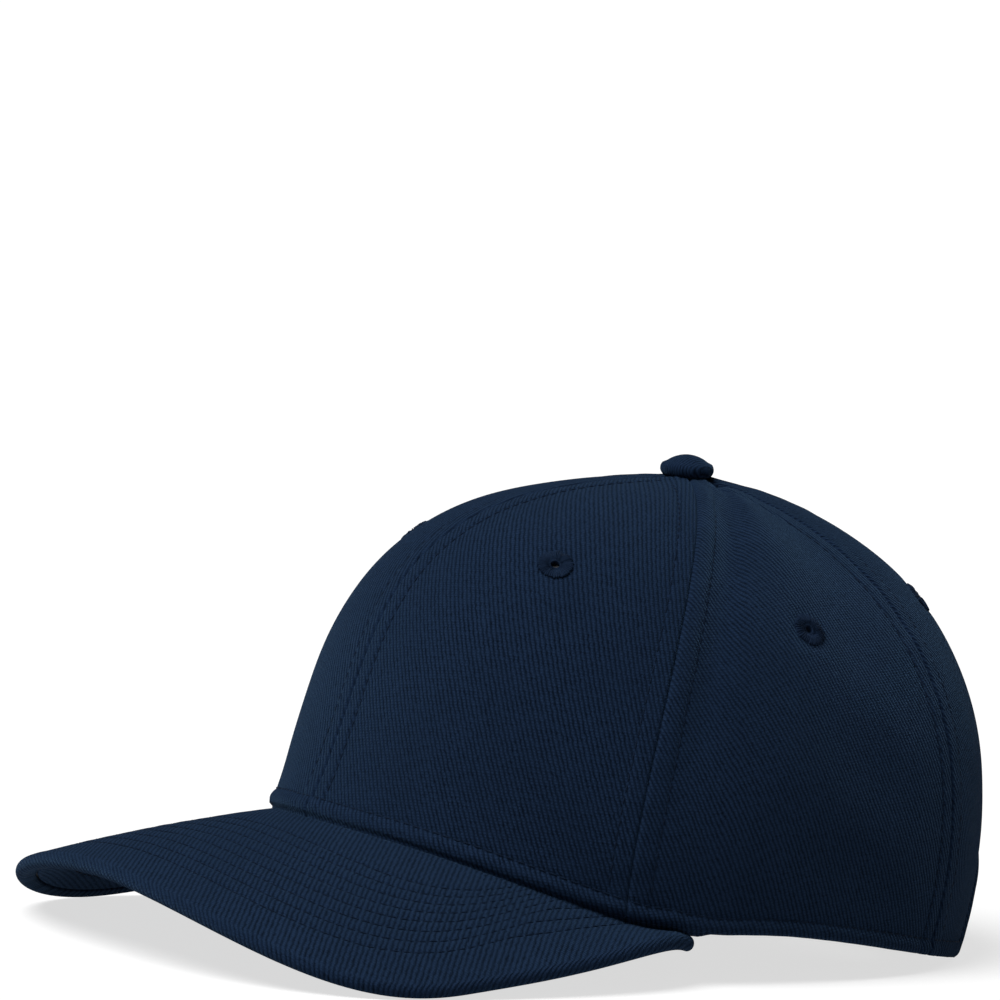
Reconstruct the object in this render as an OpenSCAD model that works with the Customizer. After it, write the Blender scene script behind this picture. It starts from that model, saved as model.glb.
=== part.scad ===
// Six-panel baseball cap with a stiffened front, a bent visor and a strap that
// runs through a flip clasp at the back. Millimetres, resting on a table on the
// two lowest edges of its visor and the two corners of its back opening.
// +X is the wearer's left, -Y is the front, Z = 0 is the table.
// Directions round the crown are angles from the front, positive to the left.

/* [Crown] */
// Half width of the crown at its hem
crown_half_w = 79.5; // [70:0.5:96]
// Distance from the middle to the front of the hem
crown_front = 91; // [80:0.5:110]
// Distance from the middle to the back of the hem
crown_back = 110; // [95:0.5:132]
// Height of the crown's top above the table
crown_h = 129.5; // [115:0.5:156]
// Distance from the middle back to the button
button_back = 25; // [10:0.5:32]
// Height of the hem above the table at the front
hem_front_h = 36.3; // [28:0.5:44]
// Height of the hem above the table at the sides
hem_side_h = 13.4; // [8:0.1:18]
// Thickness of the cloth panels
cloth = 1.3; // [0.8:0.1:2]
// Direction of the seams between front and side panels
seam_front_a = 66.5; // [58:0.5:75]
// Direction of the seams between side and back panels
seam_back_a = 139.5; // [125:0.5:148]
// Gap left between two panels at a seam
seam_gap = 0.3; // [0.2:0.1:0.6]

/* [Stiffening and tapes] */
// Thickness of the buckram behind the front panels
buckram = 0.7; // [0.4:0.1:1.2]
// Thickness of the seam tapes
tape = 0.6; // [0.3:0.1:1]
// Width of the seam tapes
tape_w = 13; // [9:0.5:16]
// Gap between one layer and the next
layer_gap = 0.35; // [0.3:0.05:0.6]

/* [Button and eyelets] */
// Radius of the button
button_r = 7.5; // [6:0.1:9]
// Height of the button above the crown
button_h = 5.4; // [4:0.1:7]
// Outer radius of an eyelet's stitched ring
eyelet_r = 4.9; // [3.5:0.1:6]
// Radius of an eyelet's hole
eyelet_hole_r = 1.3; // [0.8:0.1:2]

/* [Visor] */
// Half width of the visor at its widest
visor_half_w = 93.5; // [84:0.5:112]
// Distance that the visor stands out in front of the crown
visor_out = 64.5; // [50:0.5:80]
// Radius that the visor is bent to
visor_bend_r = 158; // [120:1:240]
// Slope of the visor along its middle, in degrees
visor_slope = 6.3; // [2:0.1:12]
// Fall of the visor's front edge below that slope
visor_droop = 3.8; // [0:0.1:8]
// Direction where the visor ends on the hem
visor_end_a = 82; // [70:0.5:90]
// Thickness of the visor's board
board = 1.7; // [1.2:0.1:3]
// Thickness of each visor cover
cover = 1.15; // [0.8:0.05:1.6]
// Gap between the visor's root and the hem above it
visor_gap = 0.9; // [0.4:0.1:2]

/* [Sweatband] */
// Thickness of the sweatband
band = 1; // [0.6:0.1:1.6]
// Height of the sweatband
band_h = 31; // [22:1:40]
// Thickness of the forehead pad behind it
pad = 1.6; // [1:0.1:3]

/* [Back opening and strap] */
// Half the angle of the back opening at the hem
opening_a = 22.5; // [16:0.5:28]
// Height of the opening's top above the hem
opening_h = 48; // [36:1:60]
// Width of the binding round the opening
binding_w = 7; // [4:0.5:10]
// Thickness of the binding
binding = 0.9; // [0.5:0.1:1.4]
// Radius that the strap bends to
strap_bend_r = 75; // [66:0.5:96]
// Height of the strap
strap_h = 15; // [12:0.5:19]
// Thickness of the strap
strap = 1.6; // [1:0.1:2.2]
// Height of the strap's lower edge above the table
strap_z = 3; // [2.4:0.1:6]
// Outward lean of the strap, in degrees
strap_lean = 9; // [5:0.5:13]
// Furthest that the strap slides each way, in degrees round its arc
strap_travel = 14; // [8:1:16]
// Direction of the clasp, in degrees round the strap's arc from the back
clasp_a = 17; // [10:0.5:20]
// Length of the clasp along the strap
clasp_l = 14; // [12:0.5:17]
// Radius of the clasp's pin
clasp_pin_r = 0.8; // [0.6:0.05:1]
// Running clearance round the clasp's pin
pin_clear = 0.05; // [0.02:0.01:0.1]

/* [Hidden] */

navy = [0.10, 0.15, 0.23];
black = [0.06, 0.07, 0.09];
white = [0.88, 0.88, 0.85];
brass = [0.62, 0.52, 0.32];

// Squareness of the hem's plan: 2 is an ellipse
front_square = 2;
back_square = 2.27;
// Outward lean of the crown's wall at the hem, in degrees, inwards positive
lean_front = 27.8;
lean_side = -12.3;
lean_back = -13.8;
// Rise of the wall's lower curve handle, at five directions
rise_front = 50;
rise_front_quarter = -15.5;
rise_side = 47.5;
rise_back_quarter = 17;
rise_back = 117;
// Reach of the top's curve handle, at five directions
reach_front = 110;
reach_front_quarter = 7;
reach_side = 65;
reach_back_quarter = -23;
reach_back = 24;
// Arch of the front hem between its middle and its sides
hem_quarter = 1.7;
// Radius of the hole in the crown's top, under the button
top_hole_r = 4.5;
// Radius round the button where the seam tapes stop
tape_end_r = 15;
// Clearance of the strap from what it slides past
strap_gap = 0.5;
arc_fn = 96;

function unit(v) = v/norm(v);
function clamp(x, low, high) = min(max(x, low), high);

// A value that changes smoothly from front to side to back, with a
// further bump at the quarters.
function around(a, front, side, back, front_quarter = 0, back_quarter = 0) =
    let (c = cos(a), s = sin(a))
    s*s*side + c*c*(c > 0 ? front : back)
    + 4*s*s*c*c*(c > 0 ? front_quarter : back_quarter);

function hem_r(a) =
    let (c = abs(cos(a)), s = abs(sin(a)),
         long = cos(a) > 0 ? crown_front : crown_back,
         n = cos(a) > 0 ? front_square : back_square)
    1/pow(pow(c/long, n) + pow(s/crown_half_w, n), 1/n);

// The corners of the back opening stand on the table, so the hem's line
// would reach below it behind them.
corner_share = pow(cos(opening_a), 2);
hem_back_h = -hem_side_h*(1 - corner_share)/corner_share;
function hem_z(a) = around(a, hem_front_h, hem_side_h, hem_back_h, hem_quarter);

function wall_lean(a) = around(a, lean_front, lean_side, lean_back);
function wall_rise(a) = around(a, rise_front, rise_side, rise_back,
                               rise_front_quarter, rise_back_quarter);
function top_reach(a) = around(a, reach_front, reach_side, reach_back,
                               reach_front_quarter, reach_back_quarter);

// Distance from the crown's axis, and height, at t from 0 at the hem to 1 at the top
function wall_r(a, t) =
    let (r = hem_r(a), k = 1 - t)
    k*k*k*r + 3*k*k*t*(r - wall_rise(a)*sin(wall_lean(a))) + 3*k*t*t*top_reach(a);
function wall_z(a, t) =
    let (z = hem_z(a), k = 1 - t)
    k*k*k*z + 3*k*k*t*(z + wall_rise(a)*cos(wall_lean(a))) + (3*k*t*t + t*t*t)*crown_h;

// Outer face of the crown
function skin(a, t) =
    let (r = wall_r(a, t))
    [r*sin(a), button_back*(3*t*t - 2*t*t*t) - r*cos(a), wall_z(a, t)];
function skin_normal(a, t) =
    let (e = 0.004)
    unit(cross(skin(a + 1, t) - skin(a - 1, t), skin(a, t + e) - skin(a, t - e)));
// The same face, moved in by a depth
function inside(a, t, depth) = skin(a, t) - depth*skin_normal(a, t);

// t at a height above the hem, close enough for the edges of inner layers
function t_at(a, h) = h/(3*wall_rise(a)*cos(wall_lean(a)) + 0.7*h);
// t where the wall comes within a radius of the button
function t_near(a, r) = 1 - r/(3*top_reach(a) - r);
// Angle that covers half a width at t
function half_angle(a, t, w) = w/2/wall_r(a, t)*180/PI;

// A closed sheet with cols by rows cells between two faces of points, each
// given by a function of u and v from 0 to 1. u runs to the right and v up,
// as seen from outside.
module sheet(cols, rows, outer, inner) {
    w = cols + 1;
    n = w*(rows + 1);
    points = concat(
        [for (j = [0:rows]) for (i = [0:cols]) outer(i/cols, j/rows)],
        [for (j = [0:rows]) for (i = [0:cols]) inner(i/cols, j/rows)]);
    function at(i, j) = j*w + i;
    function quad(a, b, c, d) = [[a, b, c], [a, c, d]];
    function rim(a, b) = quad(a, b, b + n, a + n);
    faces = [
        for (j = [0:rows - 1]) for (i = [0:cols - 1])
            each quad(at(i, j), at(i, j + 1), at(i + 1, j + 1), at(i + 1, j)),
        for (j = [0:rows - 1]) for (i = [0:cols - 1])
            each quad(at(i, j) + n, at(i + 1, j) + n, at(i + 1, j + 1) + n, at(i, j + 1) + n),
        for (i = [0:cols - 1]) each rim(at(i, 0), at(i + 1, 0)),
        for (i = [0:cols - 1]) each rim(at(i + 1, rows), at(i, rows)),
        for (j = [0:rows - 1]) each rim(at(0, j + 1), at(0, j)),
        for (j = [0:rows - 1]) each rim(at(cols, j), at(cols, j + 1))];
    polyhedron(points, faces);
}

// A layer of the crown between two directions and two depths, with its lower
// and upper edges given by functions of the direction
module layer(a0, a1, low, high, depth, thick, cols, rows) {
    function spot(u, v, d) =
        let (a = a0 + (a1 - a0)*u, t = low(a) + (high(a) - low(a))*v)
        inside(a, t, d);
    sheet(cols, rows,
          function(u, v) spot(u, v, depth),
          function(u, v) spot(u, v, depth + thick));
}

// ---- Panels ----

gap_a = seam_gap/2/crown_half_w*180/PI;
function hem_line(a) = 0;
function top_line(a) = t_near(a, top_hole_r);
opening_t = t_at(180, opening_h);
// Lower edge of a back panel: the hem, then the arch of the opening
function arch_line(a) =
    let (x = (180 - abs(a))/opening_a)
    x >= 1 ? 0 : opening_t*sqrt(1 - x*x);

// Each eyelet is in the middle of its panel; their t on the front, side and back
front_eyelet_t = 0.645;
side_eyelet_t = 0.53;
back_eyelet_t = 0.44;
front_eyelet_a = seam_front_a/2;
side_eyelet_a = (seam_front_a + seam_back_a)/2;
back_eyelet_a = (seam_back_a + 180)/2;

// Stands its children on the crown's outer face, their Z along its normal
module on_skin(a, t) {
    n = skin_normal(a, t);
    translate(skin(a, t))
        rotate([0, acos(n[2]), atan2(n[1], n[0])])
            children();
}

// The stitched hole is cut through whatever lies behind it.
eyelet_sleeve = 0.6;
module eyelet_cut(a, t) {
    on_skin(a, t)
        cylinder(r = eyelet_hole_r + eyelet_sleeve + 0.3, h = 12, center = true, $fn = 32);
}

module front_panel(side) {
    color(navy) difference() {
        layer(side > 0 ? gap_a : -seam_front_a + gap_a, side > 0 ? seam_front_a - gap_a : -gap_a,
              function(a) hem_line(a), function(a) top_line(a), 0, cloth, 16, 24);
        eyelet_cut(side*front_eyelet_a, front_eyelet_t);
    }
}
module side_panel(side) {
    a0 = seam_front_a + gap_a;
    a1 = seam_back_a - gap_a;
    color(navy) difference() {
        layer(side > 0 ? a0 : -a1, side > 0 ? a1 : -a0,
              function(a) hem_line(a), function(a) top_line(a), 0, cloth, 16, 24);
        eyelet_cut(side*side_eyelet_a, side_eyelet_t);
    }
}

// Columns of a back panel crowd together where the arch is steep.
module back_panel(side) {
    corner = 180 - opening_a;
    flat_share = 0.4;
    function col_a(u) =
        u < flat_share
            ? seam_back_a + gap_a + (corner - seam_back_a - gap_a)*u/flat_share
            : 180 - gap_a - (opening_a - gap_a)*cos(90*(u - flat_share)/(1 - flat_share));
    function spot(u, v, d) =
        let (a = col_a(side > 0 ? u : 1 - u), low = arch_line(a), t = low + (top_line(a) - low)*v)
        inside(side*a, t, d);
    color(navy) difference() {
        sheet(15, 22, function(u, v) spot(u, v, 0), function(u, v) spot(u, v, cloth));
        eyelet_cut(side*back_eyelet_a, back_eyelet_t);
    }
}

module front_panel_left() { front_panel(1); }
module front_panel_right() { front_panel(-1); }
module side_panel_left() { side_panel(1); }
module side_panel_right() { side_panel(-1); }
module back_panel_left() { back_panel(1); }
module back_panel_right() { back_panel(-1); }

// ---- Stiffening and tapes ----

buckram_depth = cloth + layer_gap;
tape_depth = buckram_depth + buckram + layer_gap;
buckram_margin = 2;
buckram_middle_gap = 1.5;

module front_buckram(side) {
    color(white) difference() {
        layer(side > 0 ? buckram_middle_gap : -seam_front_a + buckram_margin,
              side > 0 ? seam_front_a - buckram_margin : -buckram_middle_gap,
              function(a) t_at(a, 3), function(a) t_near(a, 24), buckram_depth, buckram, 10, 14);
        eyelet_cut(side*front_eyelet_a, front_eyelet_t);
    }
}
module front_buckram_left() { front_buckram(1); }
module front_buckram_right() { front_buckram(-1); }

// A tape behind the seam at a direction, from a height above the hem to the button
module seam_tape(a, from_h) {
    low = t_at(a, from_h);
    high = t_near(a, tape_end_r);
    function spot(u, v, d) =
        let (t = low + (high - low)*v, h = half_angle(a, t, tape_w))
        inside(a + h*(2*u - 1), t, d);
    color(white) sheet(4, 18, function(u, v) spot(u, v, tape_depth),
                       function(u, v) spot(u, v, tape_depth + tape));
}
tape_from_h = 4;
back_tape_h = strap_z + strap_h + 4;
module front_seam_tape() { seam_tape(0, tape_from_h); }
module front_left_seam_tape() { seam_tape(seam_front_a, tape_from_h); }
module front_right_seam_tape() { seam_tape(-seam_front_a, tape_from_h); }
module back_left_seam_tape() { seam_tape(seam_back_a, back_tape_h); }
module back_right_seam_tape() { seam_tape(-seam_back_a, back_tape_h); }
module back_seam_tape() { seam_tape(180, opening_h + 3); }

// ---- Eyelets ----

module eyelet(a, t) {
    ring_h = 0.7;
    lift = 0.25;
    sleeve = cloth + 0.8;
    color(navy) on_skin(a, t) rotate_extrude($fn = 48) {
        translate([eyelet_hole_r, lift]) square([eyelet_r - eyelet_hole_r - 0.35, ring_h]);
        translate([eyelet_r - 0.35, lift + ring_h/2]) circle(r = ring_h/2, $fn = 24);
        translate([eyelet_hole_r, -sleeve]) square([eyelet_sleeve, sleeve + lift + 0.1]);
    }
}
module front_eyelet_left() { eyelet(front_eyelet_a, front_eyelet_t); }
module front_eyelet_right() { eyelet(-front_eyelet_a, front_eyelet_t); }
module side_eyelet_left() { eyelet(side_eyelet_a, side_eyelet_t); }
module side_eyelet_right() { eyelet(-side_eyelet_a, side_eyelet_t); }
module back_eyelet_left() { eyelet(back_eyelet_a, back_eyelet_t); }
module back_eyelet_right() { eyelet(-back_eyelet_a, back_eyelet_t); }

// ---- Button ----

button_wall = 0.9;
tack_r = 1.4;
module at_button() { translate([0, button_back, crown_h + 0.3]) children(); }

// Half outline of the button: a low dome with a round side, tucked in at its
// base, or the same shape moved in by an inset
module button_outline(inset) {
    side = button_h*0.34;
    rim = button_r - side;
    dome_h = button_h - 2*side;
    dome_r = (rim*rim + dome_h*dome_h)/2/dome_h;
    intersection() {
        translate([0, inset > 0 ? 0.4 : 0]) square([button_r, button_h]);
        union() {
            translate([rim, side]) circle(r = side - inset, $fn = 48);
            square([rim, side]);
            intersection() {
                translate([0, button_h - dome_r]) circle(r = dome_r - inset, $fn = arc_fn);
                square([rim, button_h]);
            }
        }
    }
}
module button_cover() {
    color(navy) at_button() rotate_extrude($fn = arc_fn) difference() {
        button_outline(0);
        button_outline(button_wall);
        translate([-1, -1]) square([tack_r + 1.3, 3]);
        translate([0, -1]) square([button_r - 2.2, 1.4]);
    }
}
module button_core() {
    color(brass) at_button() rotate_extrude($fn = arc_fn) difference() {
        button_outline(button_wall + 0.12);
        square([tack_r + 0.05, button_h - tack_depth]);
    }
}
// The tack's point ends this far below the button's top; its head is inside the crown.
tack_depth = 2;
tack_l = 7.4;
tack_head = 0.6;
tack_z = button_h - tack_depth - 0.05 - tack_l;
module button_tack() {
    color(brass) at_button() {
        translate([0, 0, tack_z]) cylinder(r = tack_r, h = tack_l, $fn = 32);
        translate([0, 0, tack_z - tack_head])
            cylinder(r = tack_r + 1.2, h = tack_head + 0.01, $fn = 32);
    }
}
module button_washer() {
    washer_h = 0.8;
    color(brass) at_button()
        translate([0, 0, tack_z + 0.1])
            difference() {
                cylinder(r = button_r, h = washer_h, $fn = 64);
                translate([0, 0, -1]) cylinder(r = tack_r + 0.1, h = washer_h + 2, $fn = 32);
            }
}

// ---- Visor ----

ply_gap = 0.2;
visor_t = 2*cover + board + 2*ply_gap;
// The middle of the visor's outline lies this far in front of the crown's middle.
visor_mid = crown_front;
visor_front_square = 2.36;
visor_back_square = 2.68;
visor_back_l = 119;
// How far inside the hem the visor's root lies, in the middle and at its ends,
// and how far inside the hem its outer edge ends
root_in = 0.6;
root_in_end = 7;
edge_in_end = 2.6;

function visor_end() = let (r = hem_r(visor_end_a)) [r*sin(visor_end_a), -r*cos(visor_end_a)];
visor_end_dir = atan2(visor_end()[0], -(visor_end()[1] + visor_mid));

function plan_r(b) =
    let (c = abs(cos(b)), s = abs(sin(b)),
         long = cos(b) > 0 ? visor_out : visor_back_l,
         n = cos(b) > 0 ? visor_front_square : visor_back_square)
    1/pow(pow(c/long, n) + pow(s/visor_half_w, n), 1/n);
visor_end_fit = (norm(visor_end() + [0, visor_mid]) - edge_in_end)/plan_r(visor_end_dir);

// Plan of the visor's outer edge and root, at u from -1 at one end to 1 at the other
function edge_plan(u) =
    let (b = u*visor_end_dir, fit = 1 + (visor_end_fit - 1)*pow(u, 8), r = plan_r(b)*fit)
    [r*sin(b), -visor_mid - r*cos(b)];
function root_plan(u) =
    let (a = u*visor_end_a, r = hem_r(a) - root_in - (root_in_end - root_in)*pow(u, 8))
    [r*sin(a), -r*cos(a)];

// Height of the visor's top face, before its root is tied to the hem
visor_top_h = hem_front_h - visor_gap;
function bent_z(p) =
    let (x = clamp(p[0], -visor_bend_r*0.95, visor_bend_r*0.95), y = p[1] + crown_front)
    visor_top_h + y*tan(visor_slope) - (visor_bend_r - sqrt(visor_bend_r*visor_bend_r - x*x))
    - visor_droop*pow(y/visor_out, 2);

function visor_top(u, v) =
    let (root = root_plan(u), p = root + (edge_plan(u) - root)*v, end = pow(u, 10),
         tie = hem_z(u*visor_end_a) - visor_gap - bent_z(root))
    // At its ends the whole width of the visor follows the hem.
    [p[0], p[1], bent_z(p) + (1 - end)*tie*(1 - v)*(1 - v)
                 + end*(hem_z(u*visor_end_a) - visor_gap - bent_z(p))];
function visor_normal(u, v) =
    let (e = 0.01, w = clamp(u, -0.985, 0.985))
    unit(cross(visor_top(w + e, v) - visor_top(w - e, v),
               visor_top(w, v - e) - visor_top(w, v + e)));
function visor_at(u, v, depth) = visor_top(u, v) - depth*visor_normal(u, v);
// Direction out of the edge, square to it
function edge_dir(u) =
    let (e = 0.01, w = clamp(u, -0.985, 0.985))
    unit(cross(visor_top(w + e, 1) - visor_top(w - e, 1), visor_normal(w, 1)));
// Width of the visor, square to its edge
function visor_len(u) = max(1, (visor_top(u, 1) - visor_top(u, 0))*edge_dir(u));

// The top cover wraps round the board's edge and turns in under it.
lip_l = 3;
roll_steps = 6;
top_rows = 10;
function lip(u) = min(lip_l, 0.25*visor_len(u));
function wrap(u, v, depth) =
    let (rows = top_rows + roll_steps + 1, j = round(v*rows), s = 2*u - 1,
         n = visor_normal(s, 1), o = edge_dir(s), r = visor_t/2,
         middle = visor_top(s, 1) - r*n)
    j <= top_rows ? visor_at(s, j/top_rows, depth)
    : j <= top_rows + roll_steps
        ? let (q = 180*(j - top_rows)/roll_steps) middle + (r - depth)*(n*cos(q) + o*sin(q))
        : middle - (r - depth)*n - lip(s)*o;

visor_cols = 40;
module visor_top_cover() {
    color(navy) sheet(visor_cols, top_rows + roll_steps + 1,
        function(u, v) wrap(1 - u, v, 0), function(u, v) wrap(1 - u, v, cover));
}
// A flat layer of the visor between two depths, ending short of its edge
module visor_layer(depth, thick, inset) {
    function last(u) = 1 - min(inset(u)/visor_len(u), 0.8);
    function spot(u, v, d) = let (s = 1 - 2*u) visor_at(s, 0.004 + (last(s) - 0.004)*v, d);
    sheet(visor_cols, 10,
          function(u, v) spot(u, v, depth), function(u, v) spot(u, v, depth + thick));
}
module visor_board() {
    color(white) visor_layer(cover + ply_gap, board, function(u) 0.3);
}
module visor_under_cover() {
    color(navy) visor_layer(cover + board + 2*ply_gap, cover, function(u) lip(u) + 0.5);
}

// ---- Strap's arc ----

arc_y = crown_back - strap_bend_r;
// Radius of the strap's arc that just touches the wall's inside, at a direction
// and a height above the hem
function arc_room(a, h) =
    let (p = skin(a, t_at(a, h)))
    norm([p[0], p[1] - arc_y]) - cloth/cos(strap_lean)
    - (hem_z(a) + h - strap_z)*tan(strap_lean);
// The strap slides in the narrowest gap between the panels and its own arc.
reach_a = 120;
strap_out = min([for (a = [reach_a:2:180]) for (h = [0:3:strap_h + strap_z]) arc_room(a, h)])
            - strap_gap;
strap_in = strap_out - strap;
function arc_angle(a) = let (r = hem_r(a)) atan2(r*sin(a), -r*cos(a) - arc_y);
opening_arc = arc_angle(180 - opening_a);
strap_under = 4;
strap_start = opening_arc + strap_travel + strap_under;
strap_tail = strap_start + 3;

// A band round the strap's arc, leaning out as it rises, between two angles
// that are measured from the back and are positive to the wearer's left
module arc_band(r, thick, z0, h, from, to) {
    shift = h*tan(strap_lean);
    low_r = r + (z0 - strap_z)*tan(strap_lean);
    translate([0, arc_y, 0]) rotate([0, 0, 90 - to])
        rotate_extrude(angle = to - from, $fn = arc_fn)
            polygon([[low_r, z0], [low_r + thick, z0],
                     [low_r + thick + shift, z0 + h], [low_r + shift, z0 + h]]);
}
module strap() {
    color(navy) arc_band(strap_in, strap, strap_z, strap_h, -strap_tail, strap_start);
}

// ---- Clasp ----

clasp_wall = 1.1;
clasp_side_gap = 0.5;
pin_x = clasp_l/2 - 2.6;
knuckle_r = clasp_pin_r + 0.75;
// The knuckle clears the strap's outer face.
pin_y = strap/2 + 0.25 + knuckle_r;
slot_h = strap_h + 2*clasp_side_gap;
sag = clasp_l*clasp_l/8/strap_in;
bar_r = 0.7;
bar_x = clasp_l/2 + 1.9;
loop_t = 0.8;
loop_gap = 0.1;
bar_y = strap/2 + 0.3 + loop_t + loop_gap + bar_r;

// Local axes on the strap: x along it to the wearer's right, y outwards, z up
// its leaning face, from the middle of the strap at the clasp
module at_clasp() {
    mid_r = strap_in + strap/2 + strap_h/2*tan(strap_lean);
    translate([-mid_r*sin(clasp_a), arc_y + mid_r*cos(clasp_a), strap_z + strap_h/2])
        rotate([0, 0, clasp_a]) rotate([-strap_lean, 0, 0]) mirror([1, 0, 0])
            children();
}
module upright(x, y, r, h) {
    translate([x, y, -h/2]) cylinder(r = r, h = h, $fn = 48);
}
module clasp_frame() {
    back_y = -strap/2 - sag - 0.45 - clasp_wall;
    full_h = slot_h + 2*clasp_wall;
    color(brass) at_clasp() difference() {
        union() {
            translate([-clasp_l/2, back_y, -full_h/2]) cube([clasp_l, clasp_wall, full_h]);
            for (side = [-1, 1])
                translate([-clasp_l/2, back_y, side > 0 ? slot_h/2 : -full_h/2])
                    cube([clasp_l, pin_y + 1.2 - back_y, clasp_wall]);
            for (side = [-1, 1])
                translate([clasp_l/2 - 0.01, bar_y - 1.3, side > 0 ? slot_h/2 : -full_h/2])
                    cube([bar_x - clasp_l/2 + bar_r, 2.6, clasp_wall]);
            upright(bar_x, bar_y, bar_r, full_h);
        }
        upright(pin_x, pin_y, clasp_pin_r, full_h + 2);
    }
}
module clasp_pin() {
    color(brass) at_clasp() upright(pin_x, pin_y, clasp_pin_r, slot_h + 2*clasp_wall);
}
module clasp_lever() {
    plate = 1.1;
    lever_h = slot_h - 0.6;
    reach = clasp_l/2 + pin_x - 0.2;
    color(brass) at_clasp() difference() {
        union() {
            upright(pin_x, pin_y, knuckle_r, lever_h);
            translate([pin_x - reach, pin_y + knuckle_r - plate, -lever_h/2])
                cube([reach, plate, lever_h]);
            translate([pin_x - reach, pin_y + knuckle_r - plate/2, -lever_h/2])
                cylinder(r = plate/2, h = lever_h, $fn = 32);
        }
        upright(pin_x, pin_y, clasp_pin_r + pin_clear, lever_h + 2);
    }
}
// Webbing that wraps the frame's bar and is sewn under the right back panel
module clasp_loop() {
    wrap_r = bar_r + loop_gap + loop_t;
    bar_a = clasp_a + atan(bar_x/strap_in);
    color(navy) difference() {
        union() {
            at_clasp() upright(bar_x, bar_y, wrap_r, slot_h - 1);
            arc_band(strap_out + 0.3, loop_t, strap_z + 0.3, strap_h - 0.6,
                     -opening_arc - 8, -bar_a);
        }
        at_clasp() upright(bar_x, bar_y, bar_r + loop_gap, slot_h + 2);
    }
}

// ---- Sweatband ----

// Towards the back the sweatband turns in to leave the strap its room.
band_depth_front = tape_depth + tape + layer_gap + pad + layer_gap;
function band_depth(a, t) =
    let (w = clamp((abs(a) - 100)/24, 0, 1), k = w*w*(3 - 2*w), p = skin(a, t),
         up = clamp(p[2] - strap_z, 0, strap_h),
         room = norm([p[0], p[1] - arc_y]) - strap_in - up*tan(strap_lean) + strap_gap + 0.2)
    band_depth_front*(1 - k) + max(room, band_depth_front)*k;
band_end_a = 180 - opening_a - 1;
module sweatband() {
    function spot(u, v, d) =
        let (a = band_end_a*(2*u - 1), t = t_at(a, 2 + (band_h - 2)*v))
        inside(a, t, band_depth(a, t) + d);
    color(black) sheet(64, 5, function(u, v) spot(u, v, 0), function(u, v) spot(u, v, band));
}
module forehead_pad() {
    pad_a = 52;
    color(white) layer(-pad_a, pad_a, function(a) t_at(a, 3), function(a) t_at(a, band_h - 3),
                       tape_depth + tape + layer_gap, pad, 20, 3);
}
module care_label() {
    label_a = 92;
    color(white) layer(label_a, label_a + 16, function(a) t_at(a, band_h + 2),
                       function(a) t_at(a, band_h + 34),
                       tape_depth + tape, 0.35, 3, 5);
}

// ---- Opening's binding ----

module opening_binding() {
    extra_a = binding_w/hem_r(180 - opening_a)*180/PI;
    extra_t = t_at(180, opening_h + binding_w) - opening_t;
    low_q = asin(clamp((t_at(180 - opening_a, strap_z + strap_h + 2))/opening_t, 0, 0.9));
    function spot(u, v, d) =
        let (q = low_q + (180 - 2*low_q)*u,
             a = 180 - (opening_a + extra_a*v)*cos(q),
             t = (opening_t + extra_t*v)*sin(q))
        inside(a, t, d);
    depth = cloth + layer_gap;
    color(navy) sheet(28, 3, function(u, v) spot(u, v, depth),
                      function(u, v) spot(u, v, depth + binding));
}

front_panel_left();
front_panel_right();
side_panel_left();
side_panel_right();
back_panel_left();
back_panel_right();
front_buckram_left();
front_buckram_right();
front_seam_tape();
front_left_seam_tape();
front_right_seam_tape();
back_left_seam_tape();
back_right_seam_tape();
back_seam_tape();
front_eyelet_left();
front_eyelet_right();
side_eyelet_left();
side_eyelet_right();
back_eyelet_left();
back_eyelet_right();
button_cover();
button_core();
button_tack();
button_washer();
visor_top_cover();
visor_board();
visor_under_cover();
forehead_pad();
sweatband();
opening_binding();
strap();
clasp_loop();
clasp_frame();
clasp_pin();
clasp_lever();
care_label();
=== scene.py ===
from math import asin, atan, atan2, cos, degrees, pi, radians, sin, sqrt, tan

import bpy
import numpy as np
from mathutils import Matrix, Vector


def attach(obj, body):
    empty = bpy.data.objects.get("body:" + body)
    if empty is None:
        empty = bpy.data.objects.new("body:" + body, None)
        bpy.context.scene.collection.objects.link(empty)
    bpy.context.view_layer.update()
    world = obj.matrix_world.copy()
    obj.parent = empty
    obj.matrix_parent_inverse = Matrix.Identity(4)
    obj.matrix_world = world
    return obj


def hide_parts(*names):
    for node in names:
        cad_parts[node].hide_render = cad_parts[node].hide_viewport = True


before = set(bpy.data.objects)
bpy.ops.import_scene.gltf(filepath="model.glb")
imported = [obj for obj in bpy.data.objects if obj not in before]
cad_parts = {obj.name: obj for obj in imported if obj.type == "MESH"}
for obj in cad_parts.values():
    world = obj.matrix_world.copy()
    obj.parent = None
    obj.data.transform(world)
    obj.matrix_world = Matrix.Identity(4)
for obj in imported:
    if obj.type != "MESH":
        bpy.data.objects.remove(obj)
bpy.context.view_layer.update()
MM = 0.001

# ---- Camera ----
# It stands to the wearer's left of the front, a little above the visor, far off
# and with a long lens, and is rolled slightly.

AZIMUTH, ELEVATION, ROLL = radians(57.805), radians(7.609), radians(3.872)
DISTANCE, LENS = 2.857, 370.3
CENTRE = Vector((0, 0, 0.0134))
BACK = Vector((sin(AZIMUTH)*cos(ELEVATION), -cos(AZIMUTH)*cos(ELEVATION), sin(ELEVATION)))
RIGHT = Vector((cos(AZIMUTH), sin(AZIMUTH), 0))
UP = BACK.cross(RIGHT)
AIM = CENTRE + RIGHT*-0.0301 + UP*0.1072

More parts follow.
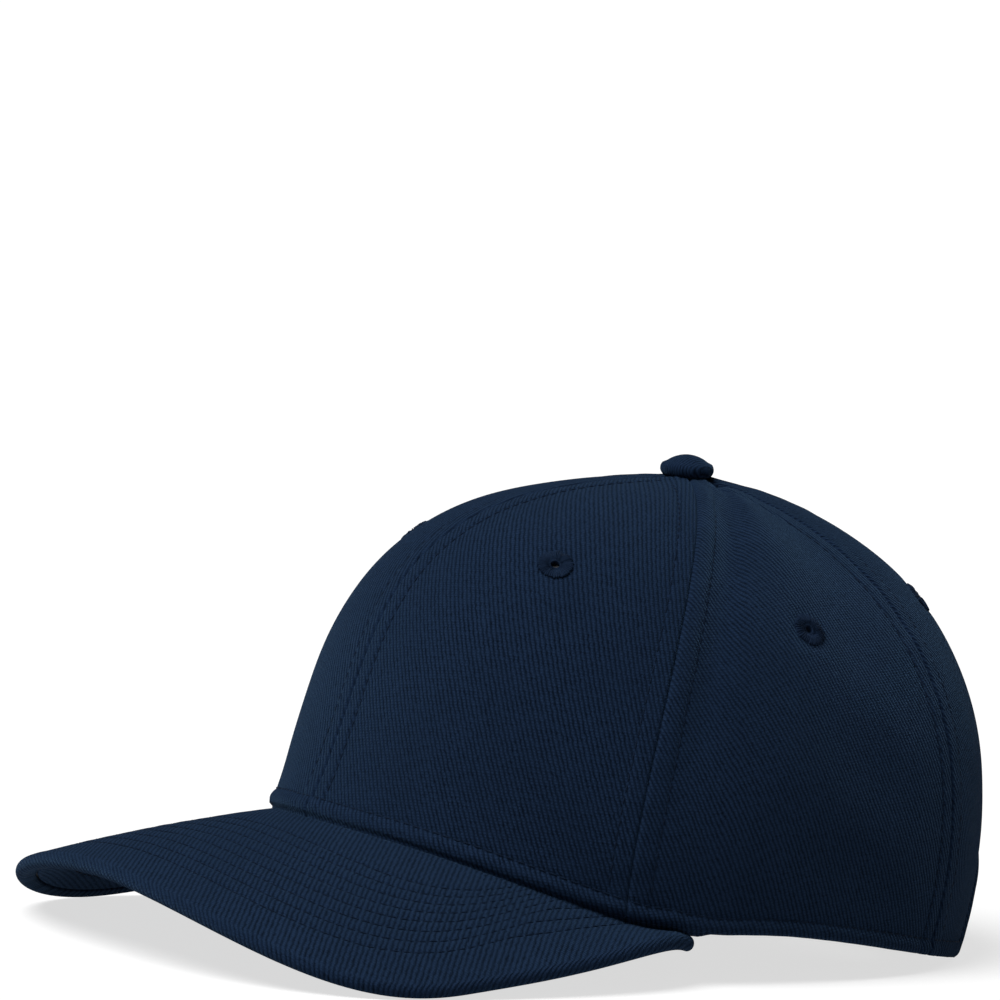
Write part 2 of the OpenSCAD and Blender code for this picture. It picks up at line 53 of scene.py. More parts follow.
camera = bpy.data.objects.new("camera", bpy.data.cameras.new("camera"))
bpy.context.scene.collection.objects.link(camera)
bpy.context.scene.camera = camera
camera.data.sensor_width = 36
camera.data.lens = LENS
camera.data.clip_start, camera.data.clip_end = 0.1, 60
camera.location = CENTRE + BACK*DISTANCE
look = (AIM - camera.location).normalized()
side_way = look.cross(UP).normalized()
level = Matrix((side_way, side_way.cross(look), -look)).transposed()
camera.matrix_world = (Matrix.Translation(camera.location)
                       @ (level @ Matrix.Rotation(ROLL, 3, "Z")).to_4x4())

# ---- The crown's shape, in millimetres; directions in degrees from the front ----

CROWN_HALF_W, CROWN_FRONT, CROWN_BACK, CROWN_H, BUTTON_BACK = 79.5, 91, 110, 129.5, 25
HEM_FRONT_H, HEM_SIDE_H, HEM_QUARTER = 36.3, 13.4, 1.7
SEAM_FRONT_A, SEAM_BACK_A, SEAM_GAP = 66.5, 139.5, 0.05
CLOTH, BUCKRAM, TAPE, TAPE_W, LAYER_GAP = 1.3, 0.7, 0.6, 13, 0.35
OPENING_A, OPENING_H = 22.5, 48
CORNER_SHARE = cos(radians(OPENING_A))**2
HEM_BACK_H = -HEM_SIDE_H*(1 - CORNER_SHARE)/CORNER_SHARE
TOP_HOLE_R, TAPE_END_R = 4.5, 15
BUCKRAM_DEPTH = CLOTH + LAYER_GAP
TAPE_DEPTH = BUCKRAM_DEPTH + BUCKRAM + LAYER_GAP
BAND, BAND_H, PAD = 1, 31, 1.6
VISOR_END_A, VISOR_GAP = 82, 0.9
STRAP_BEND_R, STRAP_H, STRAP, STRAP_Z, STRAP_LEAN, STRAP_TRAVEL = 75, 15, 1.6, 3, 9, 14
CLASP_A, CLASP_L = 17, 14
EYELET_R, EYELET_HOLE_R = 4.9, 1.3
PANELS = {"front": (0, SEAM_FRONT_A), "side": (SEAM_FRONT_A, SEAM_BACK_A),
          "back": (SEAM_BACK_A, 180)}
EYELETS = {kind: (sum(PANELS[kind])/2, up)
           for kind, up in (("front", 0.645), ("side", 0.53), ("back", 0.44))}
SIDES = {"left": 1, "right": -1}


def sind(a):
    return np.sin(np.radians(a))


def cosd(a):
    return np.cos(np.radians(a))


def unit(v):
    return v/np.maximum(np.linalg.norm(v, axis=-1, keepdims=True), 1e-12)


def smooth(low, high, x):
    k = np.clip((x - low)/(high - low), 0, 1)
    return k*k*(3 - 2*k)


def bell(x, width):
    return np.exp(-(x/width)**2)


def least(*values):
    return np.minimum.reduce(np.broadcast_arrays(*values))


def around(a, front, side, back, front_quarter=0, back_quarter=0):
    c, s = cosd(a), sind(a)
    return (s*s*side + c*c*np.where(c > 0, front, back)
            + 4*s*s*c*c*np.where(c > 0, front_quarter, back_quarter))


def hem_r(a):
    c, s = cosd(a), sind(a)
    n = np.where(c > 0, 2, 2.27)
    long = np.where(c > 0, CROWN_FRONT, CROWN_BACK)
    return 1/((abs(c)/long)**n + (abs(s)/CROWN_HALF_W)**n)**(1/n)


def hem_z(a):
    return around(a, HEM_FRONT_H, HEM_SIDE_H, HEM_BACK_H, HEM_QUARTER)


def lean(a):
    return around(a, 27.8, -12.3, -13.8)


def rise(a):
    return around(a, 50, 47.5, 117, -15.5, 17)


def reach(a):
    return around(a, 110, 65, 24, 7, -23)


def wall_r(a, t):
    r, k = hem_r(a), 1 - t
    return k**3*r + 3*k*k*t*(r - rise(a)*sind(lean(a))) + 3*k*t*t*reach(a)


def skin(a, t):
    """Outer face of the crown, at t from 0 at the hem to 1 at the top."""
    out, z, k = wall_r(a, t), hem_z(a), 1 - t
    up = k**3*z + 3*k*k*t*(z + rise(a)*cosd(lean(a))) + (3*k*t*t + t**3)*CROWN_H
    return np.stack([out*sind(a), BUTTON_BACK*(3*t*t - 2*t**3) - out*cosd(a), up], -1)


def skin_normal(a, t):
    across = skin(a + 1, t) - skin(a - 1, t)
    along = skin(a, t + 0.004) - skin(a, t - 0.004)
    return unit(np.cross(across, along))


def inside(a, t, depth):
    a, t = np.broadcast_arrays(np.asarray(a, float), np.asarray(t, float))
    return skin(a, t) - np.asarray(depth)[..., None]*skin_normal(a, t)


def t_at(a, h):
    return h/(3*rise(a)*cosd(lean(a)) + 0.7*h)


def t_near(a, r):
    return 1 - r/(3*reach(a) - r)


def mm_per_degree(a, t):
    return np.linalg.norm(skin(a + 0.5, t) - skin(a - 0.5, t), axis=-1)


OPENING_T = float(t_at(180, OPENING_H))


def arch_line(a):
    x = (180 - abs(a))/OPENING_A
    return np.where(x >= 1, 0, OPENING_T*np.sqrt(np.maximum(0, 1 - x*x)))


# ---- The visor's shape ----

VISOR_HALF_W, VISOR_OUT, VISOR_BEND_R, VISOR_SLOPE, VISOR_DROOP = 93.5, 64.5, 158, 6.3, 3.8
BOARD, COVER, PLY_GAP = 1.7, 1.15, 0.2
VISOR_T = 2*COVER + BOARD + 2*PLY_GAP
ROOT_IN, ROOT_IN_END, EDGE_IN_END, LIP = 0.6, 7, 2.6, 3
VISOR_ROWS = 13 + 5.57*np.arange(8)


def flat_place(r, a, middle=0.0):
    return np.stack([r*sind(a), middle - r*cosd(a)], -1)


def plan_r(b):
    c, s = cosd(b), sind(b)
    n = np.where(c > 0, 2.36, 2.68)
    return 1/((abs(c)/np.where(c > 0, VISOR_OUT, 119))**n + (abs(s)/VISOR_HALF_W)**n)**(1/n)


visor_end = flat_place(hem_r(VISOR_END_A), VISOR_END_A)
VISOR_END_DIR = degrees(atan2(visor_end[0], -(visor_end[1] + CROWN_FRONT)))
VISOR_END_FIT = float((np.hypot(visor_end[0], visor_end[1] + CROWN_FRONT) - EDGE_IN_END)
                      / plan_r(VISOR_END_DIR))


def edge_plan(u):
    b = u*VISOR_END_DIR
    return flat_place(plan_r(b)*(1 + (VISOR_END_FIT - 1)*u**8), b, -CROWN_FRONT)


def root_plan(u):
    a = u*VISOR_END_A
    return flat_place(hem_r(a) - ROOT_IN - (ROOT_IN_END - ROOT_IN)*u**8, a)


def bent_z(p):
    x = np.clip(p[..., 0], -VISOR_BEND_R*0.95, VISOR_BEND_R*0.95)
    y = p[..., 1] + CROWN_FRONT
    return (HEM_FRONT_H - VISOR_GAP + y*tan(radians(VISOR_SLOPE))
            - (VISOR_BEND_R - np.sqrt(VISOR_BEND_R**2 - x*x)) - VISOR_DROOP*(y/VISOR_OUT)**2)


def visor_top(u, v):
    u, v = np.broadcast_arrays(np.asarray(u, float), np.asarray(v, float))
    root = root_plan(u)
    p = root + (edge_plan(u) - root)*v[..., None]
    end, hem = u**10, hem_z(u*VISOR_END_A) - VISOR_GAP
    z = (bent_z(p) + (1 - end)*(hem - bent_z(root))*(1 - v)**2 + end*(hem - bent_z(p)))
    return np.concatenate([p, z[..., None]], -1)


def visor_under_hem():
    """Directions, and how far below the hem's own line the visor's top face lies there."""
    u, v = np.linspace(0, 1, 220)[:, None], np.linspace(0, 0.4, 400)
    p = visor_top(u, v)
    r, a = np.hypot(p[..., 0], p[..., 1]), np.degrees(np.arctan2(p[..., 0], -p[..., 1]))
    at = np.argmax(r >= hem_r(a) - CLOTH/2, axis=1)
    row = np.arange(len(u))
    a, z = a[row, at], p[row, at, 2]
    return a, hem_z(a) - z


VISOR_DIRECTIONS, VISOR_DROPS = visor_under_hem()


# ---- Smooth unevenness of cloth ----

def ripples(seed, wave, count=7):
    """A function of points in millimetres, about -1 to 1, with hills about a wave apart."""
    rng = np.random.RandomState(seed)
    ways = unit(rng.normal(size=(count, 3)))*rng.uniform(0.6, 1.5, (count, 1))*2*pi/wave
    shifts = rng.uniform(0, 2*pi, count)

    def value(p):
        total = 0
        for way, shift in zip(ways, shifts):
            total = total + np.sin(p @ way + shift)
        return total/sqrt(count)
    return value


slack = ripples(3, 42)
pucker = ripples(5, 11)

# ---- Meshes ----


def piece(name, points, faces, body, nodes=(), slot=None, material=None, cloth=None):
    """An object of points in millimetres that rides on a body and stands for CAD nodes.
    cloth holds, for each point, its place on the cloth and its distance from a worked edge."""
    mesh = bpy.data.meshes.new(name)
    mesh.from_pydata((np.asarray(points)*MM).tolist(), [], [list(map(int, f)) for f in faces])
    mesh.polygons.foreach_set("use_smooth", [True]*len(mesh.polygons))
    if cloth is not None:
        held = mesh.attributes.new("cloth", "FLOAT_VECTOR", "POINT")
        held.data.foreach_set("vector", np.asarray(cloth, float).ravel())
    mesh.validate()
    mesh.update()
    obj = bpy.data.objects.new(name, mesh)
    bpy.context.scene.collection.objects.link(obj)
    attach(obj, body)
    if nodes:
        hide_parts(*nodes)
    if material:
        mesh.materials.append(material)
    return obj


def sheet_faces(rows, cols, open_cells=None):
    """Faces of a closed sheet whose outer points come first and inner points second.
    open_cells marks cells that are cut away."""
    j, i = np.meshgrid(np.arange(rows - 1), np.arange(cols - 1), indexing="ij")
    first = j*cols + i
    cells = np.stack([first, first + 1, first + cols + 1, first + cols], -1)
    cells = cells[~open_cells] if open_cells is not None else cells.reshape(-1, 4)
    n = rows*cols
    edges = np.concatenate([cells[:, [k, (k + 1) % 4]] for k in range(4)])
    codes, back = edges[:, 0]*n + edges[:, 1], edges[:, 1]*n + edges[:, 0]
    rim = edges[~np.isin(codes, back)]
    walls = np.stack([rim[:, 1], rim[:, 0], rim[:, 0] + n, rim[:, 1] + n], -1)
    return np.concatenate([cells, cells[:, ::-1] + n, walls])


def run_along(p, axis):
    """Distance run along rows or columns of a grid of points."""
    d = np.linalg.norm(np.diff(p, axis=axis), axis=-1)
    return np.concatenate([np.zeros_like(np.take(d, [0], axis)), np.cumsum(d, axis)], axis)


def runs(p):
    return run_along(p, 1), run_along(p, 0)


def from_sides(across):
    return np.minimum(across, across[:, -1:] - across)


def from_ends(along):
    return np.minimum(along, along[-1:] - along)


# Each sheet's width, length and area as made, in millimetres
finished = {}
# A distance from worked edges at which no wear shows
UNWORN = 9.0


def sheet_piece(name, outer, inner, cloth, open_cells=None, body="cap", **facts):
    """A closed sheet between two grids of points, seen with u to the right and v up."""
    middle = (outer + inner)/2
    across, up = np.diff(middle, axis=1)[:-1], np.diff(middle, axis=0)[:, :-1]
    finished[name] = (*(run.max() for run in runs(middle)),
                      np.linalg.norm(np.cross(across, up), axis=-1).sum())
    points = np.concatenate([outer.reshape(-1, 3), inner.reshape(-1, 3)])
    both = np.concatenate([np.stack(cloth, -1).reshape(-1, 3)]*2)
    faces = sheet_faces(*outer.shape[:2], open_cells)
    used = np.unique(faces)
    place = np.zeros(len(points), int)
    place[used] = np.arange(len(used))
    return piece(name, points[used], place[faces], body, cloth=both[used], **facts)


def turned_piece(name, profile, count, put, ridge, **facts):
    """A closed profile of (radius, height) turned about an axis. ridge shapes it round the
    turn, and put takes its own points to their place."""
    q = np.linspace(0, 2*pi, count, endpoint=False)
    r, z = np.asarray(profile, float).T
    rr, zz, qq = (np.broadcast_to(x, (len(r), count)) for x in (r[:, None], z[:, None], q[None]))
    rr, zz = ridge(rr, zz, qq)
    points = np.stack([rr*np.cos(qq), rr*np.sin(qq), zz], -1)
    j, i = np.meshgrid(np.arange(len(r)), np.arange(count), indexing="ij")
    down, right = (j + 1) % len(r), (i + 1) % count
    faces = np.stack([j*count + i, down*count + i, down*count + right, j*count + right], -1)
    cloth = np.stack([points[..., 0], points[..., 1], np.full(rr.shape, UNWORN)], -1)
    return piece(name, put(points).reshape(-1, 3), faces.reshape(-1, 4), "cap",
                 cloth=cloth.reshape(-1, 3), **facts)


# ---- Stitches: each is its own short length of thread ----

STITCH_AT = np.array([0.0, 0.12, 0.35, 0.65, 0.88, 1.0])
STITCH_SIZE = np.array([0.35, 0.85, 1.0, 1.0, 0.85, 0.35])
STITCH_RINGS, STITCH_SIDES, STITCH_W, STITCH_H = len(STITCH_AT), 6, 1.15, 0.85


class Stitching:
    """Rows of stitches gathered into one object."""

    def __init__(self, thread=0.22, pitch=3.1, length=2.55):
        self.thread, self.pitch, self.length = thread, pitch, length
        self.points, self.faces, self.cloth, self.count = [], [], [], 0

    def row(self, path, normals, sink=0.12, lift=0.2):
        """Stitches along a path. Their middles stand proud and their ends go into the cloth."""
        run = run_along(path, 0)
        number = int(run[-1]/self.pitch)
        if number < 1:
            return
        rng = np.random.RandomState(number)
        starts = (run[-1] - number*self.pitch)/2 + self.pitch*np.arange(number)
        s = starts[:, None] + STITCH_AT*self.length*rng.uniform(0.93, 1.03, (number, 1))
        at = np.stack([np.interp(s, run, path[:, k]) for k in range(3)], -1)
        n = unit(np.stack([np.interp(s, run, normals[:, k]) for k in range(3)], -1))
        along = unit(at[:, -1] - at[:, 0])[:, None]
        b = unit(np.cross(along, n))
        at = at + n*(lift*np.sin(pi*STITCH_AT) - sink)[None, :, None]
        at = at + b*(rng.uniform(-0.07, 0.07, (number, 1, 1)))
        rings, sides = STITCH_RINGS, STITCH_SIDES
        q = np.linspace(0, 2*pi, sides, endpoint=False)
        ring = (b[:, :, None]*np.cos(q)[None, None, :, None]*STITCH_W
                + n[:, :, None]*np.sin(q)[None, None, :, None]*STITCH_H)
        body = at[:, :, None] + ring*(self.thread*STITCH_SIZE)[None, :, None, None]
        base = self.count + np.arange(number)[:, None, None]*rings*sides
        j, i = np.meshgrid(np.arange(rings - 1), np.arange(sides), indexing="ij")
        first, second = j*sides + i, j*sides + (i + 1) % sides
        quad = np.stack([first, second, second + sides, first + sides], -1)
        self.faces += (base + quad.reshape(1, -1, 4)).reshape(-1, 4).tolist()
        self.faces += (base[:, 0] + np.arange(sides)[::-1]).tolist()
        self.faces += (base[:, 0] + np.arange((rings - 1)*sides, rings*sides)).tolist()
        self.points.append(body.reshape(-1, 3))
        place = np.stack(np.broadcast_arrays(s[:, :, None], q*self.thread,
                                             np.full(body.shape[:3], UNWORN)), -1)
        self.cloth.append(place.reshape(-1, 3))
        self.count += number*rings*sides

    def sew(self, name, body, slot, material):
        return piece(name, np.concatenate(self.points), self.faces, body, slot=slot,
                     material=material, cloth=np.concatenate(self.cloth))


# ---- Materials ----

class Nodes:
    """Adds nodes to one tree and joins them."""

    def __init__(self, tree):
        self.tree = tree

    def join(self, value, socket):
        if isinstance(value, bpy.types.NodeSocket):
            self.tree.links.new(value, socket)
        elif value is not None:
            socket.default_value = value

    def add(self, kind, **settings):
        node = self.tree.nodes.new(kind)
        for key, value in settings.items():
            setattr(node, key, value)
        return node

    def math(self, operation, *values):
        node = self.add("ShaderNodeMath", operation=operation)
        for value, socket in zip(values, node.inputs):
            self.join(value, socket)
        return node.outputs[0]

    def times(self, a, b, plus=None):
        return self.math("MULTIPLY" if plus is None else "MULTIPLY_ADD", a, b, plus)

    def wave(self, turns, shape="COSINE"):
        """From 0 to 1 and back, once a turn."""
        return self.times(self.math(shape, self.times(turns, 2*pi)), 0.5, 0.5)

    def ramp(self, value, low, high, out_low=0.0, out_high=1.0):
        node = self.add("ShaderNodeMapRange", interpolation_type="SMOOTHSTEP")
        for given, socket in zip((value, low, high, out_low, out_high), node.inputs):
            self.join(given, socket)
        return node.outputs[0]

    def mix(self, factor, a, b):
        node = self.add("ShaderNodeMix", data_type="RGBA")
        self.join(factor, node.inputs[0])
        self.join(a, node.inputs[6])
        self.join(b, node.inputs[7])
        return node.outputs[2]

    def tint(self, colour, mask, share, over):
        """Lays a share of another colour over a colour, where the mask is."""
        return self.mix(self.times(mask, share), colour, over)

    def noise(self, vector, scale, detail=2.0, roughness=0.5):
        node = self.add("ShaderNodeTexNoise")
        for key, value in (("Vector", vector), ("Scale", scale), ("Detail", detail),
                           ("Roughness", roughness)):
            self.join(value, node.inputs[key])
        return node.outputs[0]

    def cell_tone(self, cell):
        node = self.add("ShaderNodeTexWhiteNoise", noise_dimensions="2D")
        self.join(cell, node.inputs["Vector"])
        return node.outputs["Value"]

    def place(self, x, y, z=0.0):
        node = self.add("ShaderNodeCombineXYZ")
        for value, socket in zip((x, y, z), node.inputs):
            self.join(value, socket)
        return node.outputs[0]

    def parts(self, vector):
        node = self.add("ShaderNodeSeparateXYZ")
        self.join(vector, node.inputs[0])
        return node.outputs

    def group(self, tree, **values):
        node = self.add("ShaderNodeGroup")
        node.node_tree = tree
        for key, value in values.items():
            self.join(value, node.inputs[key.replace("_", " ")])
        return node.outputs


def effect(name, inputs, outputs):
    """An empty shader group with named sockets, its nodes, and where its ends are."""
    tree = bpy.data.node_groups.new(name, "ShaderNodeTree")
    for key, value in inputs.items():
        kind = "NodeSocketVector" if value is None else "NodeSocketFloat"
        socket = tree.interface.new_socket(key, in_out="INPUT", socket_type=kind)
        if value is not None:
            socket.default_value = value
    for key in outputs:
        tree.interface.new_socket(key, in_out="OUTPUT", socket_type="NodeSocketFloat")
    nodes = Nodes(tree)
    start = nodes.add("NodeGroupInput")
    end = nodes.add("NodeGroupOutput")
    return tree, nodes, start.outputs, end.inputs


def make_twill():
    """Diagonal wales, each of short floats of yarn. Sizes are in millimetres."""
    tree, n, given, made = effect(
        "twill", {"Cloth": None, "Turn": 30.0, "Pitch": 1.3, "Waver": 0.12},
        ("Height", "Tone"))
    x, y, _ = n.parts(given["Cloth"])
    turn = n.math("RADIANS", given["Turn"])
    c, s = n.math("COSINE", turn), n.math("SINE", turn)
    flat = n.place(x, y)
    sway = n.math("SUBTRACT", n.noise(flat, 0.55, 2.0), 0.5)
    jitter = n.math("SUBTRACT", n.noise(flat, 2.6, 1.0), 0.5)
    p = n.math("ADD", n.times(x, c), n.times(y, s))
    q = n.math("SUBTRACT", n.times(y, c), n.times(x, s))
    p = n.math("DIVIDE", p, given["Pitch"])
    p = n.times(sway, n.times(given["Waver"], 5.0), p)
    p = n.times(jitter, given["Waver"], p)
    wale = n.math("POWER", n.wave(p), 0.75)
    run = n.math("DIVIDE", q, n.times(given["Pitch"], 0.62))
    run = n.times(p, 0.5, run)
    run = n.times(jitter, 0.7, run)
    lift = n.times(wale, n.times(n.wave(run), 0.38, 0.62))
    strand = n.place(n.math("FLOOR", n.math("ADD", p, 0.5)), n.math("FLOOR", run))
    n.join(lift, made["Height"])
    n.join(n.cell_tone(strand), made["Tone"])
    return tree


def make_plain_weave():
    """Square over-and-under weave, with open holes between loose yarns."""
    tree, n, given, made = effect(
        "plain_weave", {"Cloth": None, "Pitch": 0.8, "Looseness": 0.3},
        ("Height", "Hole", "Tone"))
    x, y, _ = n.parts(given["Cloth"])
    waver = n.math("SUBTRACT", n.noise(n.place(x, y), 0.9, 2.0), 0.5)
    sides = []
    for value in (x, y):
        cell = n.math("DIVIDE", value, given["Pitch"])
        sides.append(n.times(waver, 0.35, cell))
    a, b = (n.math("ABSOLUTE", n.math("SINE", n.times(v, pi))) for v in sides)
    columns, rows = (n.math("FLOOR", v) for v in sides)
    over = n.math("SINE", n.times(n.math("ADD", columns, rows), pi/2))
    over = n.times(over, over)
    height = n.math("ADD", n.times(a, over),
                    n.times(b, n.math("SUBTRACT", 1.0, over)))
    hole = n.ramp(n.math("MAXIMUM", a, b), given["Looseness"], 0.0)
    n.join(height, made["Height"])
    n.join(hole, made["Hole"])
    n.join(n.cell_tone(n.place(columns, rows)), made["Tone"])
    return tree


def make_nap():
    """Brushed fibre ends, a fleck of lighter fibre, and slow drift of the dye."""
    tree, n, given, made = effect("nap", {"Cloth": None, "Fineness": 5.0},
                                  ("Height", "Fleck", "Drift"))
    x, y, _ = n.parts(given["Cloth"])
    flat = n.place(x, y)
    fibres = n.place(x, n.times(y, 0.55))
    n.join(n.noise(fibres, given["Fineness"], 3.0, 0.7), made["Height"])
    n.join(n.ramp(n.noise(flat, n.times(given["Fineness"], 0.7), 2.0, 0.6),
                  0.52, 0.72), made["Fleck"])
    n.join(n.noise(flat, 0.035, 3.0), made["Drift"])
    return tree


def make_edge_wear():
    """Where a worked edge has been rubbed: strongest at the edge, and broken up."""
    tree, n, given, made = effect("edge_wear", {"Cloth": None, "Width": 1.5}, ("Mask",))
    x, y, edge = n.parts(given["Cloth"])
    near = n.ramp(edge, 0.0, given["Width"], 1.0, 0.0)
    broken = n.ramp(n.noise(n.place(x, y), 0.5, 4.0, 0.65), 0.35, 0.7)
    n.join(n.times(near, broken), made["Mask"])
    return tree


TWILL, PLAIN_WEAVE, NAP, EDGE_WEAR = (
    make_twill(), make_plain_weave(), make_nap(), make_edge_wear())


def start_material(name, roughness, **fixed):
    material = bpy.data.materials.new(name)
    material.use_nodes = True
    n = Nodes(material.node_tree)
    shader = material.node_tree.nodes["Principled BSDF"]
    shader.inputs["Roughness"].default_value = roughness
    for key, value in fixed.items():
        shader.inputs[key.replace("_", " ")].default_value = value
    return material, n, shader


NAVY, NAVY_SHEEN = (0.0075, 0.0165, 0.0385, 1), (0.1, 0.2, 0.34, 1)


def cloth_place(n):
    return n.add("ShaderNodeAttribute", attribute_name="cloth").outputs["Vector"]


def surface(n, shader, colour, roughness, height):
    """Height is in millimetres."""
    n.join(colour, shader.inputs["Base Color"])
    n.join(roughness, shader.inputs["Roughness"])
    bump = n.add("ShaderNodeBump")
    bump.inputs["Strength"].default_value = 1.0
    bump.inputs["Distance"].default_value = MM
    n.join(height, bump.inputs["Height"])
    n.join(bump.outputs[0], shader.inputs["Normal"])


def scaled(colour, k):
    return tuple(min(1, x*k) for x in colour[:3]) + (1,)


def twill_cloth(name, base_colour, turn=30.0, pitch=1.3, depth=0.3):
    """Dyed twill with a short brushed nap. Its grooves are painted darker and its wale tops
    lighter, as painted shade and painted highlight.
    """
    material, n, shader = start_material(name, 0.82, Sheen_Weight=0.28, Sheen_Roughness=0.45,
                                         Sheen_Tint=NAVY_SHEEN, Specular_IOR_Level=0.012)
    at = cloth_place(n)
    twill = n.group(TWILL, Cloth=at, Turn=turn, Pitch=pitch)
    fuzz = n.group(NAP, Cloth=at, Fineness=4.5)
    rubbed = n.group(EDGE_WEAR, Cloth=at, Width=1.6)["Mask"]
    # Painted shade and highlight: the twill's height makes it darker in the grooves and lighter on
    # the wale tops.
    colour = n.mix(twill["Height"], scaled(base_colour, 0.14), scaled(base_colour, 1.55))
    colour = n.tint(colour, twill["Tone"], 0.4, scaled(base_colour, 1.5))
    colour = n.tint(colour, fuzz["Fleck"], 0.35, scaled(base_colour, 2.1))
    colour = n.tint(colour, n.ramp(fuzz["Drift"], 0.35, 0.65), 0.22, scaled(base_colour, 0.75))
    colour = n.tint(colour, rubbed, 0.4, scaled(base_colour, 1.6))
    surface(n, shader, colour, n.ramp(twill["Height"], 0.0, 1.0, 0.92, 0.76),
            n.times(fuzz["Height"], 0.1, n.times(twill["Height"], depth)))
    return material


def woven_cloth(name, yarn, gap, pitch=0.8, looseness=0.3, depth=0.12, roughness=0.8, sheen=0.1):
    """Plain woven cloth: close for labels and tapes, open for buckram. The gaps between its yarns
    are painted in a darker colour, as painted shade.
    """
    material, n, shader = start_material(name, roughness, Sheen_Weight=sheen,
                                         Specular_IOR_Level=0.25)
    at = cloth_place(n)
    weave = n.group(PLAIN_WEAVE, Cloth=at, Pitch=pitch, Looseness=looseness)
    fuzz = n.group(NAP, Cloth=at, Fineness=3.5)
    colour = n.tint(yarn, weave["Tone"], 0.3, scaled(yarn, 0.8))
    colour = n.tint(colour, fuzz["Drift"], 0.3, scaled(yarn, 0.72))
    # Painted shade: the gaps between and through the yarns take the darker gap colour.
    surface(n, shader, n.mix(weave["Hole"], colour, gap),
            n.ramp(weave["Height"], 0.0, 1.0, roughness + 0.1, roughness - 0.08),
            n.times(fuzz["Height"], 0.03, n.times(weave["Height"], depth)))
    return material


def thread_material(name, base_colour, twist=0.55):
    """Plied thread: fine slanting strands and a soft gleam, with painted shade between the strands
    and a painted highlight on them.
    """
    material, n, shader = start_material(name, 0.6, Sheen_Weight=0.15, Sheen_Roughness=0.35,
                                         Sheen_Tint=NAVY_SHEEN, Specular_IOR_Level=0.03)
    at = cloth_place(n)
    x, y, _ = n.parts(at)
    strand = n.wave(n.times(y, 2.4, n.math("DIVIDE", x, twist)), "SINE")
    fuzz = n.group(NAP, Cloth=at, Fineness=6.0)
    # Painted shade and highlight: darker between the plied strands, lighter on them.
    colour = n.mix(strand, scaled(base_colour, 0.6), scaled(base_colour, 1.25))
    surface(n, shader, n.tint(colour, fuzz["Fleck"], 0.3, scaled(base_colour, 1.6)),
            n.ramp(strand, 0.0, 1.0, 0.7, 0.5),
            n.times(fuzz["Height"], 0.02, n.times(strand, 0.06)))
    return material


def metal_material(name, bright, dull):
    """Plated metal with fine brushing, and tarnish that gathers in patches."""
    material, n, shader = start_material(name, 0.32, Metallic=1.0)
    spot = n.add("ShaderNodeTexCoord").outputs["Object"]
    x, y, z = n.parts(spot)
    brushed = n.noise(n.place(n.times(x, 6.0), n.times(y, 6.0), z),
                      900.0, 3.0)
    patch = n.ramp(n.noise(spot, 260.0, 4.0, 0.6), 0.42, 0.68)
    surface(n, shader, n.mix(patch, bright, dull),
            n.times(brushed, 0.2, n.ramp(patch, 0.0, 1.0, 0.24, 0.54)), n.times(brushed, 0.012))
    return material


def foam_material(name, colour):
    """Open-cell foam, painted darker in the pits of its cells as painted shade."""
    material, n, shader = start_material(name, 0.9, Specular_IOR_Level=0.2)
    cells = n.add("ShaderNodeTexVoronoi")
    n.join(cloth_place(n), cells.inputs["Vector"])
    cells.inputs["Scale"].default_value = 1.8
    deep = n.ramp(cells.outputs["Distance"], 0.0, 0.6)
    # Painted shade: darker in the pits of the cells.
    surface(n, shader, n.mix(deep, scaled(colour, 0.45), colour),
            n.ramp(deep, 0.0, 1.0, 1.0, 0.8), n.times(deep, 0.12))
    return material


def board_material(name, colour):
    """Smooth moulded board with a faint orange-peel surface, whose low spots are painted a little
    darker as painted shade.
    """
    material, n, shader = start_material(name, 0.5)
    grain = n.noise(n.add("ShaderNodeTexCoord").outputs["Object"], 1400.0, 3.0)
    # Painted shade: the orange peel's low spots are a little darker.
    surface(n, shader, n.mix(grain, scaled(colour, 0.85), colour),
            n.ramp(grain, 0.2, 0.8, 0.4, 0.6), n.times(grain, 0.03))
    return material


crown_cloth = twill_cloth("crown_twill", NAVY)
button_cloth = twill_cloth("button_twill", NAVY, turn=15.0, pitch=0.75, depth=0.1)
visor_cloth = twill_cloth("visor_twill", NAVY, turn=49.0, pitch=1.38)
# Painted light: the visor's lining is the crown's navy made half again as light, standing in for
# light that reaches the visor's underside.
brightened_lining_cloth = twill_cloth("visor_lining_twill", scaled(NAVY, 1.5), turn=49.0, pitch=1.38)
strap_cloth = twill_cloth("strap_twill", NAVY, turn=62.0, depth=0.14)
binding_cloth = twill_cloth("binding_twill", scaled(NAVY, 0.9), turn=45.0, pitch=0.9, depth=0.1)
thread = thread_material("topstitch_thread", scaled(NAVY, 0.72))
satin_thread = thread_material("eyelet_thread", scaled(NAVY, 1.1), twist=0.35)
tape_cloth = woven_cloth("seam_tape_weave", (0.009, 0.012, 0.02, 1), (0.003, 0.004, 0.006, 1),
                         pitch=0.55, looseness=0.2, depth=0.08)
sweat_cloth = woven_cloth("sweatband_weave", (0.012, 0.014, 0.022, 1), (0.004, 0.005, 0.008, 1),
                          pitch=0.45, looseness=0.2, depth=0.06, sheen=0.25)
buckram_cloth = woven_cloth("buckram_weave", (0.035, 0.037, 0.045, 1), (0.008, 0.008, 0.01, 1),
                            pitch=1.15, looseness=0.62, depth=0.2, roughness=0.7)
label_cloth = woven_cloth("label_weave", (0.72, 0.72, 0.69, 1), (0.5, 0.5, 0.48, 1),
                          pitch=0.22, looseness=0.15, depth=0.03, roughness=0.5)
pad_foam = foam_material("pad_foam", (0.05, 0.052, 0.06, 1))
clasp_metal = metal_material("aged_brass", (0.42, 0.31, 0.15, 1), (0.16, 0.115, 0.06, 1))
button_metal = metal_material("pressed_steel", (0.56, 0.56, 0.55, 1), (0.33, 0.32, 0.3, 1))
visor_plastic = board_material("visor_board", (0.018, 0.02, 0.026, 1))


